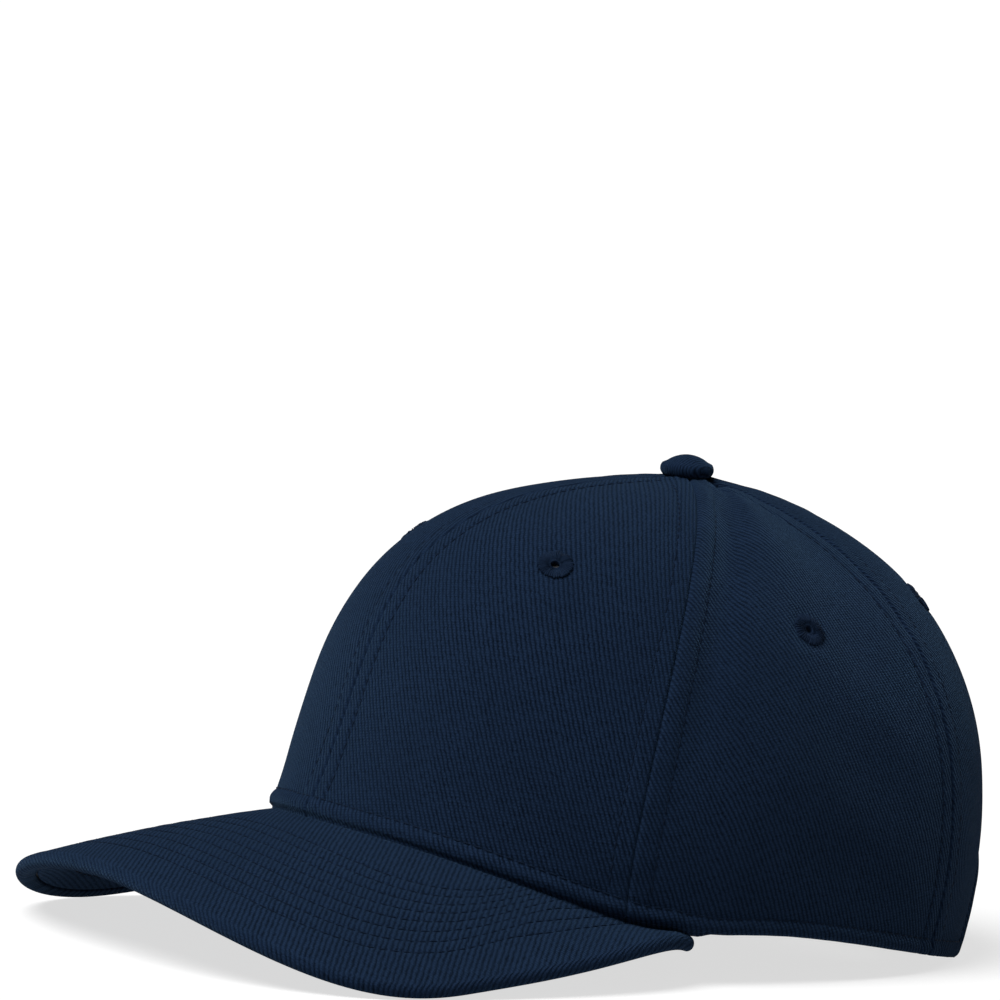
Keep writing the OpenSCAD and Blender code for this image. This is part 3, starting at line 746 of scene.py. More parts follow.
def refinish(material, *nodes):
    """A carried-over hard part keeps its shape and gets its finish."""
    for node in nodes:
        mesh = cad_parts[node].data
        mesh.materials.clear()
        mesh.materials.append(material)


refinish(clasp_metal, "clasp_frame", "clasp_pin", "clasp_lever")
refinish(button_metal, "button_core", "button_tack", "button_washer")
refinish(visor_plastic, "visor_board")

# ---- Crown panels ----

ROW_D = 5.6
HEM_ROW_H = 4.6
# At each seam, the panels that have a row beside it, and which way the row lies from it
SEAM_ROWS = {0: [("front", 1)], SEAM_FRONT_A: [("front", -1), ("side", 1)],
             SEAM_BACK_A: [("side", -1), ("back", 1)], 180: [("back", -1)]}
# How far from the button's middle those rows stop
ROW_STOP = {"front": 12.5, "side": 12.5, "back": 17.5}
FAR = 40.0
# Heights where seams and rows of stitching are worked, and at the hem
SEAM_DOUBLED, SEAM_CREASE, SEAM_ROW_SUNK, SEAM_PUCKER = 0.3, 0.65, 0.32, 0.09
HEM_DOUBLED, HEM_ROW_SUNK, HEM_PUCKER, HEM_ROLL, HEM_EDGE, HEM_PRESSED = (
    0.28, 0.42, 0.1, 0.6, 0.55, 1.15)
# How much each kind of panel's cloth wavers between its seams
WAVER = {"front": 0.1, "side": 0.4, "back": 0.35}
EYELET_SUNK, EYELET_CUT = 0.28, 0.8


def row_distance(kind, seam):
    """How far a topstitch row runs from a seam, on one kind of panel."""
    return 6.3 if kind == "side" and seam == SEAM_FRONT_A else ROW_D


def over_visor(kind, a):
    """1 where the hem is sewn down on to the visor, 0 where it is free."""
    return 0.0 if kind == "back" else smooth(VISOR_END_A + 2.5, VISOR_END_A, abs(a))


def hem_row(kind, a):
    return HEM_ROW_H + 1.7*over_visor(kind, a)


def relief(kind, a, t, p, low_d, high_d, hem_d):
    """Heights above the plain skin: crisp ones on the outer face only, and soft ones of the
    whole cloth. low_d and high_d are distances from the seams nearer the front and the back."""
    crisp = np.zeros(np.shape(t))
    for d, seam in zip((low_d, high_d), PANELS[kind]):
        row = row_distance(kind, seam)
        doubled = smooth(row + 1.5, row - 0.9, d)
        crisp = (crisp + SEAM_DOUBLED*doubled - SEAM_CREASE*bell(d, 0.5)
                 - SEAM_ROW_SUNK*bell(d - row, 0.55))
        crisp = crisp + SEAM_PUCKER*pucker(p)*smooth(row + 3, row - 1, d)
    on_visor, row = over_visor(kind, a), hem_row(kind, a)
    rolled = smooth(row + 1.5, row - 0.8, hem_d)
    crisp = (crisp + HEM_DOUBLED*rolled - HEM_ROW_SUNK*bell(hem_d - row, 0.7)
             + HEM_PUCKER*pucker(p)*rolled)
    crisp = crisp + HEM_ROLL*bell(hem_d - row*0.45 - 0.8*on_visor, 1.5)
    crisp = (crisp - HEM_EDGE*bell(hem_d, 0.4)
             - HEM_PRESSED*on_visor*smooth(2.0, 1.2, hem_d))
    soft = WAVER[kind]*slack(p)*smooth(2, 24, least(low_d, high_d, hem_d))
    if kind == "side":
        # The side panel, which has no stiffening, sinks beside the stiffened front.
        beside = 0.5*bell(low_d - 3.2, 2.8) - 1.6*bell(low_d - 11.5, 5.5)
        soft = soft + beside*smooth(0.12, 0.55, t)*smooth(0.98, 0.88, t)
    if kind == "front":
        soft = soft + 0.15*bell(high_d - 2, 4)*smooth(0.1, 0.4, t)*smooth(0.97, 0.85, t)
    return crisp, soft


def edge_crowded(count, power=1.5):
    s = np.linspace(-1, 1, count)
    return (1 + np.sign(s)*(1 - (1 - abs(s))**power))/2


def panel_columns(kind, low_a, high_a):
    if kind != "back":
        return low_a + (high_a - low_a)*edge_crowded(104)
    corner = 180 - OPENING_A
    first = low_a + (corner - low_a)*edge_crowded(40)[:-1]
    q = 90*(1 - (1 - np.linspace(0, 1, 56))**1.5)
    return np.concatenate([first, 180 - (180 - high_a) - (OPENING_A - (180 - high_a))*cosd(q)])


def distance_to(p, line):
    best = np.full(p.shape[:-1], 1e9)
    for k in range(0, len(line), 8):
        d = np.linalg.norm(p[..., None, :] - line[k:k + 8], axis=-1).min(-1)
        best = np.minimum(best, d)
    return best


def visor_turn_in(a):
    """Over the visor the hem is sewn down on to it, a little below its own line."""
    drop = np.interp(abs(a), VISOR_DIRECTIONS, VISOR_DROPS)
    spare = 0.15 + 0.3*smooth(20, 44, abs(a))
    return -(drop + spare)/(3*rise(a))*over_visor("front", a)


def make_panel(kind, where, side):
    low_seam, high_seam = PANELS[kind]
    gap = degrees(SEAM_GAP/2/CROWN_HALF_W)
    a = panel_columns(kind, low_seam + gap, high_seam - gap)
    low = arch_line(a) if kind == "back" else visor_turn_in(a)
    v = np.linspace(0, 1, 150)**1.35
    t = low + (t_near(a, TOP_HOLE_R) - low)*v[:, None]
    a = np.broadcast_to(a, t.shape)
    p = inside(side*a, t, 0.0)
    across, along = runs(p)
    low_d, high_d = across + SEAM_GAP/2, across[:, -1:] - across + SEAM_GAP/2
    hem_d, cloth_x, cloth_y = along, across - across[:, -1:]/2, along
    if kind == "back":
        arch_q = np.linspace(0, 90, 160)
        arch_a = 180 - OPENING_A*cosd(arch_q)
        hem_a = np.linspace(low_seam + gap, 180 - OPENING_A, 60)
        line = np.concatenate([inside(side*hem_a, np.zeros(60), 0.0),
                               inside(side*arch_a, OPENING_T*sind(arch_q), 0.0)])
        hem_d = distance_to(p, line)
        # The weave runs straight on past the opening's corner.
        lower = run_along(inside(side*a[0], low*np.linspace(0, 1, 40)[:, None], 0.0), 0)
        cloth_x = ((a - low_seam)*mm_per_degree((a + low_seam)/2, t)
                   - (180 - low_seam)/2*mm_per_degree((180 + low_seam)/2, t))
        cloth_y = along + lower[-1]
    crisp, soft = relief(kind, a, t, p, low_d, high_d, hem_d)
    eyelet_a, eyelet_t = EYELETS[kind]
    ring_d = np.linalg.norm(p - inside(side*eyelet_a, eyelet_t, 0.0), axis=-1)
    crisp = crisp - EYELET_SUNK*bell(ring_d - EYELET_R - 0.3, 1.1)
    centre_d = (ring_d[:-1, :-1] + ring_d[1:, :-1] + ring_d[:-1, 1:] + ring_d[1:, 1:])/4
    # Seen from outside, the right panel's columns run the other way.
    outer, inner, hole, *cloth = (
        x[:, ::side] for x in (inside(side*a, t, -(crisp + soft)), inside(side*a, t, CLOTH - soft),
                               centre_d < EYELET_HOLE_R + EYELET_CUT,
                               side*cloth_x, cloth_y, least(low_d, high_d, hem_d)))
    sheet_piece(f"{kind}_panel_cloth_{where}", outer, inner, cloth, hole,
                nodes=[f"{kind}_panel_{where}"], slot="crown_cloth", material=crown_cloth)


for kind in PANELS:
    for where, side in SIDES.items():
        make_panel(kind, where, side)

# Rows of topstitching beside each seam, along the hem and round the opening
crown_rows = Stitching()


def sew_on_panel(kind, side, a, t, low_d, high_d, hem_d, from_h=0):
    """A row on a panel's finished face, from a height above the hem."""
    low_d, high_d, hem_d = (np.broadcast_to(d, a.shape) for d in (low_d, high_d, hem_d))
    crisp, soft = relief(kind, a, t, inside(side*a, t, 0.0), low_d, high_d, hem_d)
    path, keep = inside(side*a, t, -(crisp + soft)), hem_d > from_h
    crown_rows.row(path[keep], skin_normal(side*a, t)[keep], sink=0.06)


for side in SIDES.values():
    for seam, row_sides in SEAM_ROWS.items():
        for kind, way in row_sides:
            row = row_distance(kind, seam)
            low, below = (OPENING_T + 0.02, 6) if seam == 180 else (0.0, 0)
            t = np.linspace(low, float(t_near(seam, ROW_STOP[kind])), 300)
            a = seam + way*row/mm_per_degree(seam, t)
            hem_d = run_along(inside(side*a, t, 0.0), 0) + below
            sew_on_panel(kind, side, a, t, *((row, FAR) if way > 0 else (FAR, row)), hem_d,
                         hem_row(kind, a) + 1)
    for kind, (low, high) in PANELS.items():
        high, beyond = (180 - OPENING_A, 20) if kind == "back" else (high, 0)
        a = np.linspace(low + 0.4, high - 0.4, 200)
        row = hem_row(kind, a)
        t = row/(3*rise(a)) + (0 if kind == "back" else visor_turn_in(a))
        arc = mm_per_degree(a, t)
        sew_on_panel(kind, side, a, t, (a - low)*arc, (high - a)*arc + beyond, row)
    # Round the opening
    q = np.linspace(4, 90, 260)
    wider = degrees(HEM_ROW_H/float(hem_r(180 - OPENING_A)))
    higher = HEM_ROW_H/(3*float(rise(180)))
    a, t = 180 - (OPENING_A + wider)*cosd(q), (OPENING_T + higher)*sind(q)
    sew_on_panel("back", side, a, t, FAR, (180 - a)*mm_per_degree(a, t), HEM_ROW_H)

crown_rows.sew("crown_topstitching", "cap", "eyelet_thread", thread)

# ---- Eyelets: rings of satin stitch round open holes ----


def on_skin(a, t):
    n = skin_normal(a, t)
    x = unit(skin(a + 0.5, t) - skin(a - 0.5, t))
    y = np.cross(n, x)
    return lambda p: skin(a, t) + p[..., :1]*x + p[..., 1:2]*y + p[..., 2:]*n


def make_eyelet(kind, where, side):
    threads = 42
    rng = np.random.RandomState(7 + int(side > 0) + 2*len(kind))
    ragged = rng.uniform(-1, 1, threads)
    tall = rng.uniform(-1, 1, threads)

    def satin(r, z, q):
        number = (q*threads/(2*pi)).astype(int) % threads
        ridge = np.abs(np.sin(q*threads/2))
        outer = smooth(1.4, EYELET_R, r)*(z > -0.25)
        top = (z > 0)*smooth(1.1, 1.9, r)
        squash = 1 + 0.05*np.cos(2*q + side)
        return ((r + 0.34*ragged[number]*ridge*outer - 0.22*(1 - ridge)*outer)*squash,
                z + top*(0.3*(ridge - 0.6) + 0.12*tall[number]*ridge - 0.5*smooth(3.1, 1.5, r)))

    ring_w = (EYELET_R - EYELET_HOLE_R)/2
    mid = EYELET_HOLE_R + ring_w
    top = [(mid - ring_w*cos(q), 0.12 + 0.46*sin(q)) for q in np.linspace(0.05, pi - 0.05, 15)]
    profile = top + [(EYELET_R, -0.05), (EYELET_R - 0.15, -0.3), (3.4, -0.35),
                     (EYELET_HOLE_R + 0.55, -0.35), (EYELET_HOLE_R + 0.55, -2.05),
                     (EYELET_HOLE_R + 0.3, -2.15), (EYELET_HOLE_R, -2.0),
                     (EYELET_HOLE_R, -1.0), (EYELET_HOLE_R - 0.05, 0.0)]
    a, t = EYELETS[kind]
    turned_piece(f"{kind}_eyelet_stitches_{where}", profile, threads*7, on_skin(side*a, t), satin,
                 nodes=[f"{kind}_eyelet_{where}"], slot="eyelet_thread", material=satin_thread)


for kind in EYELETS:
    for where, side in SIDES.items():
        make_eyelet(kind, where, side)

# ---- Button ----

BUTTON_R, BUTTON_H, BUTTON_WALL, BUTTON_SWELL = 7.5, 5.4, 0.9, 1.14


def button_outline(inset, points=14):
    """From the middle of the top, round the side, to the base."""
    round_r = BUTTON_H*0.34
    rim, dome_h = BUTTON_R - round_r, BUTTON_H - 2*round_r
    dome_r = (rim*rim + dome_h*dome_h)/2/dome_h
    full = asin(rim/dome_r)
    dome = [((dome_r - inset)*sin(q), BUTTON_H - dome_r + (dome_r - inset)*cos(q))
            for q in np.linspace(0, full, points)]
    turn = [(rim + (round_r - inset)*sin(q), round_r + (round_r - inset)*cos(q))
            for q in np.linspace(full, pi, points)]
    return dome + turn[1:]


def gathers(r, z, q):
    """Small folds where the cover's cloth is drawn in under the button's side."""
    low = smooth(BUTTON_H*0.62, BUTTON_H*0.1, z)*smooth(3.5, 6, r)
    fold = np.abs(np.sin(q*7 + 0.6*np.sin(q*3)))
    return r - 0.22*low*fold**3, z + 0.05*np.sin(q*5 + 1)*smooth(2, 6, r)


outline = button_outline(0) + [(5.3, 0.02), (5.3, 0.4)] + button_outline(BUTTON_WALL)[::-1][1:]
turned_piece("button_cloth", outline, 168,
             lambda p: p*(1, 1, BUTTON_SWELL) + np.array([0, BUTTON_BACK, CROWN_H + 0.3]),
             gathers, nodes=["button_cover"], slot="crown_cloth", material=button_cloth)

# ---- Visor's covers ----


def visor_normal(u, v):
    w = np.clip(u, -0.985, 0.985)
    return unit(np.cross(visor_top(w + 0.01, v) - visor_top(w - 0.01, v),
                         visor_top(w, v - 0.01) - visor_top(w, v + 0.01)))


def edge_way(u):
    w = np.clip(u, -0.985, 0.985)
    return unit(np.cross(visor_top(w + 0.01, 1) - visor_top(w - 0.01, 1), visor_normal(w, 1)))


def visor_len(u):
    return np.maximum(1, ((visor_top(u, 1) - visor_top(u, 0))*edge_way(u)).sum(-1))


def lip_w(u):
    return np.minimum(LIP, 0.25*visor_len(u))


def quilted(p, d):
    """Height of a cover whose rows of stitching draw it down; d is from the outer edge."""
    nearest = np.abs(d[..., None] - VISOR_ROWS).min(-1)
    within = smooth(VISOR_ROWS[0] - 6, VISOR_ROWS[0] - 2, d)
    return (-0.24*bell(nearest, 0.5) + 0.05*within*smooth(0.6, 2.4, nearest)
            + 0.035*pucker(p)*within)


def make_visor_top():
    u = np.sin(np.linspace(pi/2, -pi/2, 240))*0.35 + np.linspace(1, -1, 240)*0.65
    v = np.linspace(0, 1, 130)[:, None]
    d = (1 - v)*visor_len(u)
    top = visor_top(u, v)
    n = visor_normal(u, v)
    lift = quilted(top, d) + 0.1*bell(d - 1.6, 1.2)
    outer, inner = [top + n*lift[..., None]], [top - n*COVER]
    n1, o1, r = visor_normal(u, 1.0), edge_way(u), VISOR_T/2
    middle = visor_top(u, 1.0) - r*n1
    lip = lip_w(u)[:, None]
    edge, run = [d], [np.zeros_like(d)]
    for q in np.linspace(0, pi, 15)[1:]:
        way = n1*cos(q) + o1*sin(q)
        outer.append((middle + r*way)[None])
        inner.append((middle + (r - COVER)*way)[None])
        edge.append(np.full((1, len(u)), 0.4))
        run.append(np.full((1, len(u)), q*r))
    for k in (0.35, 0.7, 1.0):
        # The turned-in lip is pressed flat towards its end.
        outer.append((middle - (r - 0.1*k)*n1 - k*lip*o1)[None])
        inner.append((middle - (r - COVER)*n1 - k*lip*o1)[None])
        edge.append(np.full((1, len(u)), 3.0*k))
        run.append(np.full((1, len(u)), pi*r + 3*k))
    outer, inner = np.concatenate(outer), np.concatenate(inner)
    edge, run = np.concatenate(edge), np.concatenate(run)
    cloth = outer[..., 0] + run*o1[:, 0], outer[..., 1] + run*o1[:, 1], edge
    sheet_piece("visor_top_cloth", outer, inner, cloth, nodes=["visor_top_cover"],
                slot="visor_cloth", material=visor_cloth)


def make_visor_under():
    u = np.linspace(1, -1, 240)
    last = 1 - np.minimum((lip_w(u) + 0.5)/visor_len(u), 0.8)
    v = 0.004 + (last - 0.004)*np.linspace(0, 1, 120)[:, None]
    top, n = visor_top(u, v), visor_normal(u, v)
    end_d = (last - v)*visor_len(u)
    low = COVER*2 + BOARD + 2*PLY_GAP + quilted(top, (1 - v)*visor_len(u)) - 0.35*bell(end_d, 0.5)
    outer = top - n*(COVER + BOARD + 2*PLY_GAP)
    sheet_piece("visor_under_cloth", outer, top - n*low[..., None],
                (outer[..., 0], outer[..., 1], end_d), nodes=["visor_under_cover"],
                slot="visor_lining", material=brightened_lining_cloth)


make_visor_top()
make_visor_under()

visor_rows = Stitching(thread=0.2, pitch=3.25, length=2.75)
for d in VISOR_ROWS:
    u = np.linspace(1, -1, 1200)
    v = 1 - d/visor_len(u)
    keep = (v > 0.012) & (abs(u) < 0.93)
    u, v = u[keep], v[keep]
    top, n = visor_top(u, v), visor_normal(u, v)
    for depth, way in ((0.2, 1), (VISOR_T - 0.2, -1)):
        visor_rows.row(top - n*depth, n*way, sink=0.03, lift=0.16)
visor_rows.sew("visor_topstitching", "cap", "eyelet_thread", thread)

# ---- Inner layers of the crown ----


def layer_piece(name, low_a, high_a, low, high, depth, thick, cols, rows, finish, **facts):
    """A layer behind the crown's skin. finish gives heights on its two faces from the
    distances to its edges."""
    a = np.linspace(low_a, high_a, cols)
    t = low(a) + (high(a) - low(a))*np.linspace(0, 1, rows)[:, None]
    a = np.broadcast_to(a, t.shape)
    deep = depth(a, t) if callable(depth) else np.full(t.shape, float(depth))
    p = inside(a, t, deep)
    across, along = runs(p)
    edge = least(from_sides(across), from_ends(along))
    out, back = finish(p, across, along, edge)
    outer, inner = inside(a, t, deep - out), inside(a, t, deep + thick + back)
    return sheet_piece(name, outer, inner, (across, along, edge), **facts)


def open_weave(p, across, along, edge):
    return -0.08*bell(edge, 0.5), -0.08*bell(edge, 0.5) + 0.04*slack(p)


for where, side in SIDES.items():
    layer_piece(f"front_buckram_cloth_{where}", *sorted((side*1.5, side*(SEAM_FRONT_A - 2))),
                lambda a: t_at(a, 3), lambda a: t_near(a, 24), BUCKRAM_DEPTH, BUCKRAM, 90, 120,
                open_weave, nodes=[f"front_buckram_{where}"], slot="buckram",
                material=buckram_cloth)

TAPE_ROW_D, TAPE_START_H = 1.6, 4
BAND_LOW_H, BAND_ROW, PAD_HALF_A, LABEL_A, LABEL_H = 2, 2.6, 52, (92, 108), 32
inner_rows = Stitching(thread=0.17, length=2.5)


def seam_tape(name, seam, from_h):
    low, high = float(t_at(seam, from_h)), float(t_near(seam, TAPE_END_R))
    t = np.linspace(low, high, 150)[:, None]
    half = np.degrees(TAPE_W/2/wall_r(seam, t))
    a = seam + half*np.linspace(-1, 1, 22)
    t = np.broadcast_to(t, a.shape)
    base = inside(a, t, TAPE_DEPTH)
    across, along = runs(base)
    edge = from_sides(across)
    down = (0.12*bell(edge - TAPE_ROW_D, 0.5) + 0.15*bell(least(edge, from_ends(along)), 0.3)
            + 0.05*pucker(base))
    sheet_piece(f"{name}_cloth", inside(a, t, TAPE_DEPTH + 0.5*down),
                inside(a, t, TAPE_DEPTH + TAPE - down*0.6), (across, along, edge),
                nodes=[name], slot="seam_tape", material=tape_cloth)
    for way in (-1, 1):
        row_a = seam + way*half[:, 0]*(1 - 2*TAPE_ROW_D/TAPE_W)
        inner_rows.row(inside(row_a, t[:, 0], TAPE_DEPTH + TAPE), -skin_normal(row_a, t[:, 0]))


seam_tape("front_seam_tape", 0, TAPE_START_H)
for where, side in SIDES.items():
    seam_tape(f"front_{where}_seam_tape", side*SEAM_FRONT_A, TAPE_START_H)
for where, side in SIDES.items():
    seam_tape(f"back_{where}_seam_tape", side*SEAM_BACK_A, STRAP_Z + STRAP_H + 4)
seam_tape("back_seam_tape", 180, OPENING_H + 3)

# The strap's arc, which the sweatband makes room for at the back
ARC_Y = CROWN_BACK - STRAP_BEND_R
STRAP_GAP, STRAP_UNDER = 0.5, 4


def arc_room(a, h):
    p = skin(a, t_at(a, h))
    return (np.hypot(p[..., 0], p[..., 1] - ARC_Y) - CLOTH/cos(radians(STRAP_LEAN))
            - (hem_z(a) + h - STRAP_Z)*tan(radians(STRAP_LEAN)))


strap_a, strap_h = np.meshgrid(np.arange(120, 181, 2), np.arange(0, STRAP_H + STRAP_Z + 1, 3))
STRAP_OUT = float(arc_room(strap_a, strap_h).min()) - STRAP_GAP
STRAP_IN = STRAP_OUT - STRAP
corner = flat_place(hem_r(180 - OPENING_A), 180 - OPENING_A)
OPENING_ARC = degrees(atan2(corner[0], corner[1] - ARC_Y))
STRAP_START = OPENING_ARC + STRAP_TRAVEL + STRAP_UNDER
STRAP_TAIL = STRAP_START + 3
PAD_DEPTH = TAPE_DEPTH + TAPE + LAYER_GAP
BAND_FRONT = PAD_DEPTH + PAD + LAYER_GAP


def band_depth(a, t):
    k = smooth(100, 124, abs(a))
    p = skin(a, t)
    up = np.clip(p[..., 2] - STRAP_Z, 0, STRAP_H)
    room = (np.hypot(p[..., 0], p[..., 1] - ARC_Y) - STRAP_IN
            - up*tan(radians(STRAP_LEAN)) + STRAP_GAP + 0.2)
    return BAND_FRONT*(1 - k) + np.maximum(room, BAND_FRONT)*k


band_end = 180 - OPENING_A - 1


def band_finish(p, across, along, edge):
    rows = bell(along - BAND_ROW, 0.5) + bell(along[-1:] - along - BAND_ROW, 0.5)
    wave = 0.12*pucker(p)*smooth(0, 5, edge)
    return (-0.15*bell(edge, 0.35) + 0.5*wave,
            -0.15*bell(edge, 0.35) - 0.22*rows + 0.15*slack(p) + wave)


layer_piece("sweatband_cloth", -band_end, band_end, lambda a: t_at(a, BAND_LOW_H),
            lambda a: t_at(a, BAND_H), band_depth, BAND, 420, 40, band_finish,
            nodes=["sweatband"], slot="sweatband_cloth", material=sweat_cloth)
for h in (BAND_LOW_H + BAND_ROW, BAND_H - BAND_ROW):
    a = np.linspace(-band_end + 1, band_end - 1, 900)
    t = t_at(a, h)
    deep = band_depth(a, t) + BAND - 0.1 + 0.15*slack(inside(a, t, band_depth(a, t)))
    inner_rows.row(inside(a, t, deep), -skin_normal(a, t), sink=0.02)


def crowned(p, across, along, edge):
    swell = 0.25*smooth(0, 5, edge) - 0.3*bell(edge, 0.6)
    return -0.3*bell(edge, 0.6), swell


forehead_pad = layer_piece("forehead_pad_foam", -PAD_HALF_A, PAD_HALF_A, lambda a: t_at(a, 3),
                           lambda a: t_at(a, BAND_H - 3), PAD_DEPTH, PAD, 160, 28, crowned,
                           nodes=["forehead_pad"], slot="pad_foam", material=pad_foam)


def label_finish(p, across, along, edge):
    free = along/along.max()
    curl = 1.6*free**2 + 0.25*np.sin(across*0.5)*free
    return -curl, curl


layer_piece("care_label_cloth", *LABEL_A, lambda a: t_at(a, BAND_H + 2),
            lambda a: t_at(a, BAND_H + 2 + LABEL_H), TAPE_DEPTH + TAPE, 0.35, 30, 44, label_finish,
            nodes=["care_label"], slot="label_cloth", material=label_cloth)

# ---- Binding round the opening ----

BINDING_W, BINDING = 7, 0.9


def make_binding():
    extra_a = degrees(BINDING_W/float(hem_r(180 - OPENING_A)))
    extra_t = float(t_at(180, OPENING_H + BINDING_W)) - OPENING_T
    low_q = degrees(asin(float(t_at(180 - OPENING_A, STRAP_Z + STRAP_H + 2))/OPENING_T))
    q = np.linspace(low_q, 180 - low_q, 240)

    def ring(k):
        return 180 - (OPENING_A + extra_a*k)*cosd(q), (OPENING_T + extra_t*k)*sind(q)

    a, t = ring(np.linspace(0, 1, 20)[:, None])
    deep = CLOTH + LAYER_GAP
    base = inside(a, t, deep)
    across, along = runs(base)
    edge = from_ends(along)
    down = 0.16*bell(edge - 1.2, 0.4) + 0.25*bell(edge, 0.35) - 0.05*pucker(base)
    for k in (0.17, 0.83):
        inner_rows.row(inside(*ring(k), deep + BINDING), -skin_normal(*ring(k)))
    sheet_piece("opening_binding_cloth", inside(a, t, deep + 0.4*down),
                inside(a, t, deep + BINDING - 0.6*down), (across, along, edge),
                nodes=["opening_binding"], slot="binding_cloth", material=binding_cloth)


make_binding()
inner_rows.sew("inner_topstitching", "cap", "eyelet_thread", thread)

# ---- Strap ----

STRAP_ROW_D = 1.9


def on_arc(b, h, out=0.0):
    """A place on the strap: b in degrees round its arc from the back, positive to the left,
    h up its leaning face from its lower edge, and out from its inner face."""
    r = STRAP_IN + out + h*tan(radians(STRAP_LEAN))
    b, h, r = np.broadcast_arrays(b, h, r)
    return np.stack([r*sind(b), ARC_Y + r*cosd(b), STRAP_Z + h], -1)


def arc_normal(b):
    n = np.stack([sind(b)*cos(radians(STRAP_LEAN)), cosd(b)*cos(radians(STRAP_LEAN)),
                  np.full(np.shape(b), -sin(radians(STRAP_LEAN)))], -1)
    return unit(n)


def make_strap():
    b = np.linspace(-STRAP_TAIL, STRAP_START, 320)[::-1]
    h = np.linspace(0, STRAP_H, 34)[:, None]
    base = on_arc(b, h)
    across, along = runs(base)
    edge = least(from_ends(along), from_sides(across))
    down = 0.45*bell(edge, 0.4) + 0.16*bell(edge - STRAP_ROW_D, 0.5) - 0.03*pucker(base)
    sheet_piece("strap_webbing", on_arc(b, h, STRAP - down), on_arc(b, h, 0.6*down),
                (across, along - STRAP_H/2, edge), body="strap", nodes=["strap"],
                slot="strap_cloth", material=strap_cloth)


make_strap()
strap_rows = Stitching(thread=0.19)
for h in (STRAP_ROW_D, STRAP_H - STRAP_ROW_D):
    b = np.linspace(-STRAP_TAIL + 2, STRAP_START - 2, 400)
    strap_rows.row(on_arc(b, h, STRAP - 0.14), arc_normal(b), sink=0.05)
    strap_rows.row(on_arc(b, h, 0.1), -arc_normal(b), sink=0.05)
strap_rows.sew("strap_topstitching", "strap", "strap_cloth", thread)

# ---- Clasp loop: webbing round the clasp's bar, sewn under the right back panel ----

LOOP, LOOP_GAP, BAR_R, BAR_X = 0.8, 0.1, 0.7, CLASP_L/2 + 1.9
BAR_Y = STRAP/2 + 0.3 + LOOP + LOOP_GAP + BAR_R
WRAP_R = BAR_R + LOOP_GAP + LOOP/2


def at_clasp(x, y, h):
    """Places by the clasp: x along the strap towards the right, y outwards, h up the strap."""
    lean, turn = radians(STRAP_LEAN), radians(CLASP_A)
    mid_r = STRAP_IN + STRAP/2 + STRAP_H/2*tan(lean)
    z = h - STRAP_H/2
    out, up = y*cos(lean) + z*sin(lean), z*cos(lean) - y*sin(lean)
    return np.stack([-x*cos(turn) - out*sin(turn) - mid_r*sin(turn),
                     -x*sin(turn) + out*cos(turn) + ARC_Y + mid_r*cos(turn),
                     up + STRAP_Z + STRAP_H/2], -1)


def make_clasp_loop():
    h = np.linspace(0.3, STRAP_H - 0.3, 20)[:, None]
    b = np.linspace(OPENING_ARC + 8, CLASP_A + degrees(atan(BAR_X/STRAP_IN)), 60)
    x = STRAP_IN*np.tan(np.radians(b - CLASP_A))
    k = smooth(BAR_X + 9, BAR_X, x)[:, None]
    band_y = BAR_Y - WRAP_R
    band = (on_arc(-b, h, STRAP + 0.3 + LOOP/2)*(1 - k)
            + at_clasp(x, np.full_like(x, band_y), h)*k)
    q = -np.radians(np.linspace(90, 347, 34)[1:])
    wrap = at_clasp(BAR_X + WRAP_R*np.cos(q), BAR_Y + WRAP_R*np.sin(q), h)
    fold = 0.6
    q = np.radians(np.linspace(180, 270, 9)[1:])
    lap_y = band_y + LOOP + 0.06
    turn_x = BAR_X + WRAP_R - 0.02 + fold
    bend = at_clasp(turn_x + fold*np.cos(q), lap_y + fold + fold*np.sin(q), h)
    x = turn_x + np.linspace(0, 4.6, 12)[1:]
    lap = at_clasp(x, lap_y - 0.1*smooth(0, 4.6, x - turn_x), h)
    middle = np.concatenate([band, wrap, bend, lap], 1)
    n = unit(np.cross(np.gradient(middle, axis=0), np.gradient(middle, axis=1)))
    across, along = runs(middle)
    edge = from_ends(along)
    half = (LOOP/2 - 0.14*bell(edge, 0.4) - 0.08*bell(edge - STRAP_ROW_D, 0.5))[..., None]
    sheet_piece("clasp_loop_webbing", middle - n*half, middle + n*half,
                (across, along - STRAP_H/2, edge), nodes=["clasp_loop"], slot="strap_cloth",
                material=strap_cloth)
    rows = Stitching(thread=0.17, pitch=2.6, length=2.1)
    for spot in (3, 10):
        column = band.shape[1] + wrap.shape[1] + bend.shape[1] + spot - 2
        rows.row(middle[1:-1, column] - n[1:-1, column]*(LOOP/2 - 0.04),
                 -n[1:-1, column], sink=0.03)
    rows.sew("clasp_loop_topstitching", "cap", "strap_cloth", thread)


make_clasp_loop()

# ---- Each sheet's cut, from its finished size and what its edges take ----

TURNED = 6.0


def declare_cloth(name, turned=0.0, cut=None):
    """cut is the width and length of a curved cut's box, where its run isn't its width."""
    across, along, area = finished[name]
    width, length = cut or (across + 2*turned, along + 2*turned)
    area = min(area + 2*turned*(across + along)*0.8, width*length)


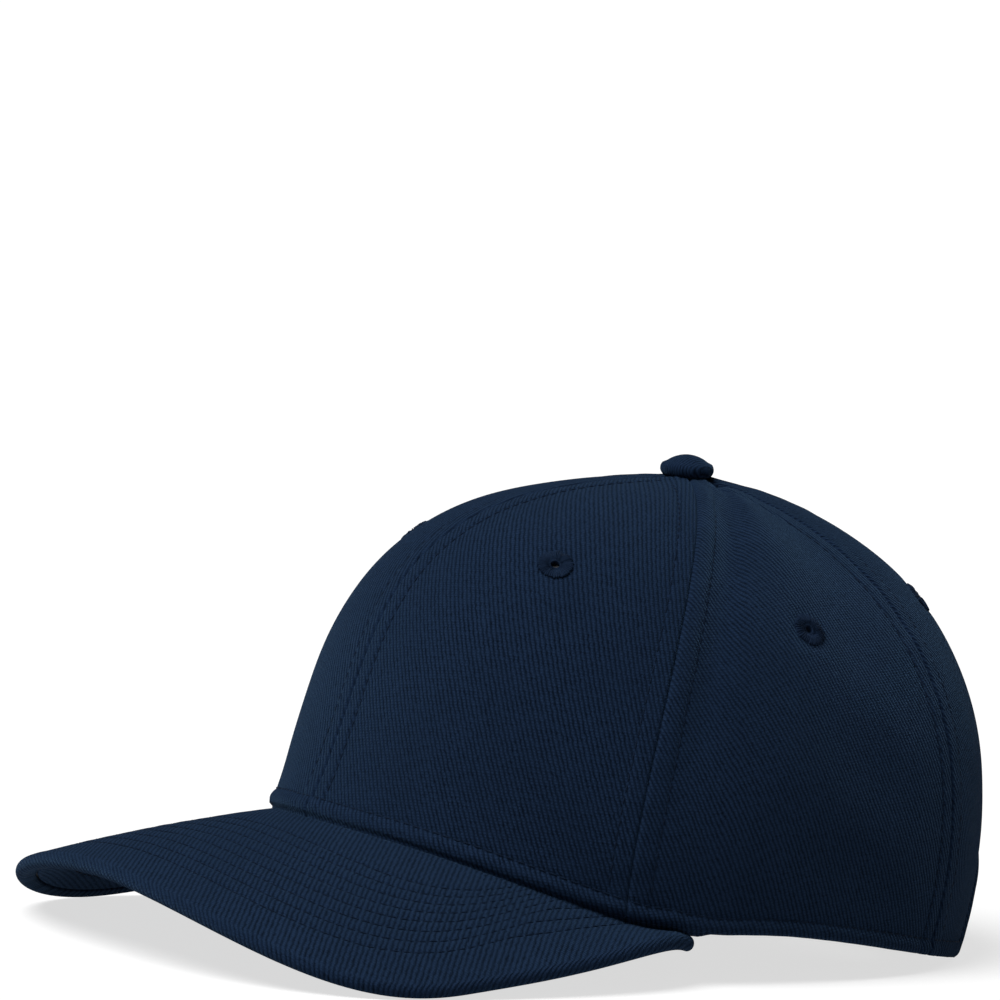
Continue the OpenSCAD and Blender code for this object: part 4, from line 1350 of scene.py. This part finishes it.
for where in SIDES:
    for kind, behind in (("front", "front_buckram_cloth_" + where),
                         ("side", f"front_{where}_seam_tape_cloth"),
                         ("back", f"back_{where}_seam_tape_cloth")):
        declare_cloth(f"{kind}_panel_cloth_{where}", TURNED)
    declare_cloth(f"front_buckram_cloth_{where}")
for name, panel in (("front", "front_panel_cloth_left"), ("front_left", "front_panel_cloth_left"),
                    ("front_right", "front_panel_cloth_right"),
                    ("back_left", "back_panel_cloth_left"),
                    ("back_right", "back_panel_cloth_right"), ("back", "back_panel_cloth_left")):
    declare_cloth(f"{name}_seam_tape_cloth")
declare_cloth("visor_top_cloth", TURNED, (214, 152))
declare_cloth("visor_under_cloth", 0, (188, 140))
declare_cloth("sweatband_cloth")
declare_cloth("care_label_cloth")
declare_cloth("opening_binding_cloth", 1.6)
declare_cloth("strap_webbing")
declare_cloth("clasp_loop_webbing")

# ---- Studio ----

scene = bpy.context.scene
scene.view_settings.view_transform = "Standard"
scene.view_settings.look = "None"

FLOOR_HALF, FLOOR_Z = 20, -0.0004
floor_mesh = bpy.data.meshes.new("floor")
floor_mesh.from_pydata([(x*FLOOR_HALF, y*FLOOR_HALF, FLOOR_Z)
                        for x, y in ((-1, -1), (1, -1), (1, 1), (-1, 1))], [], [(0, 1, 2, 3)])
floor = bpy.data.objects.new("floor", floor_mesh)
scene.collection.objects.link(floor)
paper, n, shader = start_material("pale_paper", 0.95, Specular_IOR_Level=0.1,
                                  Emission_Color=(1, 1, 1, 1))
# The paper looks white, and throws back less light than it shows.
shader.inputs["Base Color"].default_value = (0.34, 0.34, 0.34, 1)
seen = n.add("ShaderNodeLightPath").outputs["Is Camera Ray"]
n.join(n.times(seen, 0.5, 0.18), shader.inputs["Emission Strength"])
floor_mesh.materials.append(paper)

world = bpy.data.worlds.new("studio")
world.use_nodes = True
world.node_tree.nodes["Background"].inputs["Color"].default_value = (1, 1, 1, 1)
world.node_tree.nodes["Background"].inputs["Strength"].default_value = 0.1
scene.world = world


def lamp(name, energy, towards, angle):
    light = bpy.data.lights.new(name, "SUN")
    light.energy, light.angle = energy, radians(angle)
    obj = bpy.data.objects.new(name, light)
    scene.collection.objects.link(obj)
    obj.rotation_mode = "QUATERNION"
    obj.rotation_quaternion = Vector(towards).to_track_quat("-Z", "Y")


# A broad key from in front and above, and a weak one behind for the rim
lamp("key", 3.6, (-0.1, 0.52, -0.85), 40)
lamp("rim", 0.3, (0.2, -0.8, -0.55), 15)
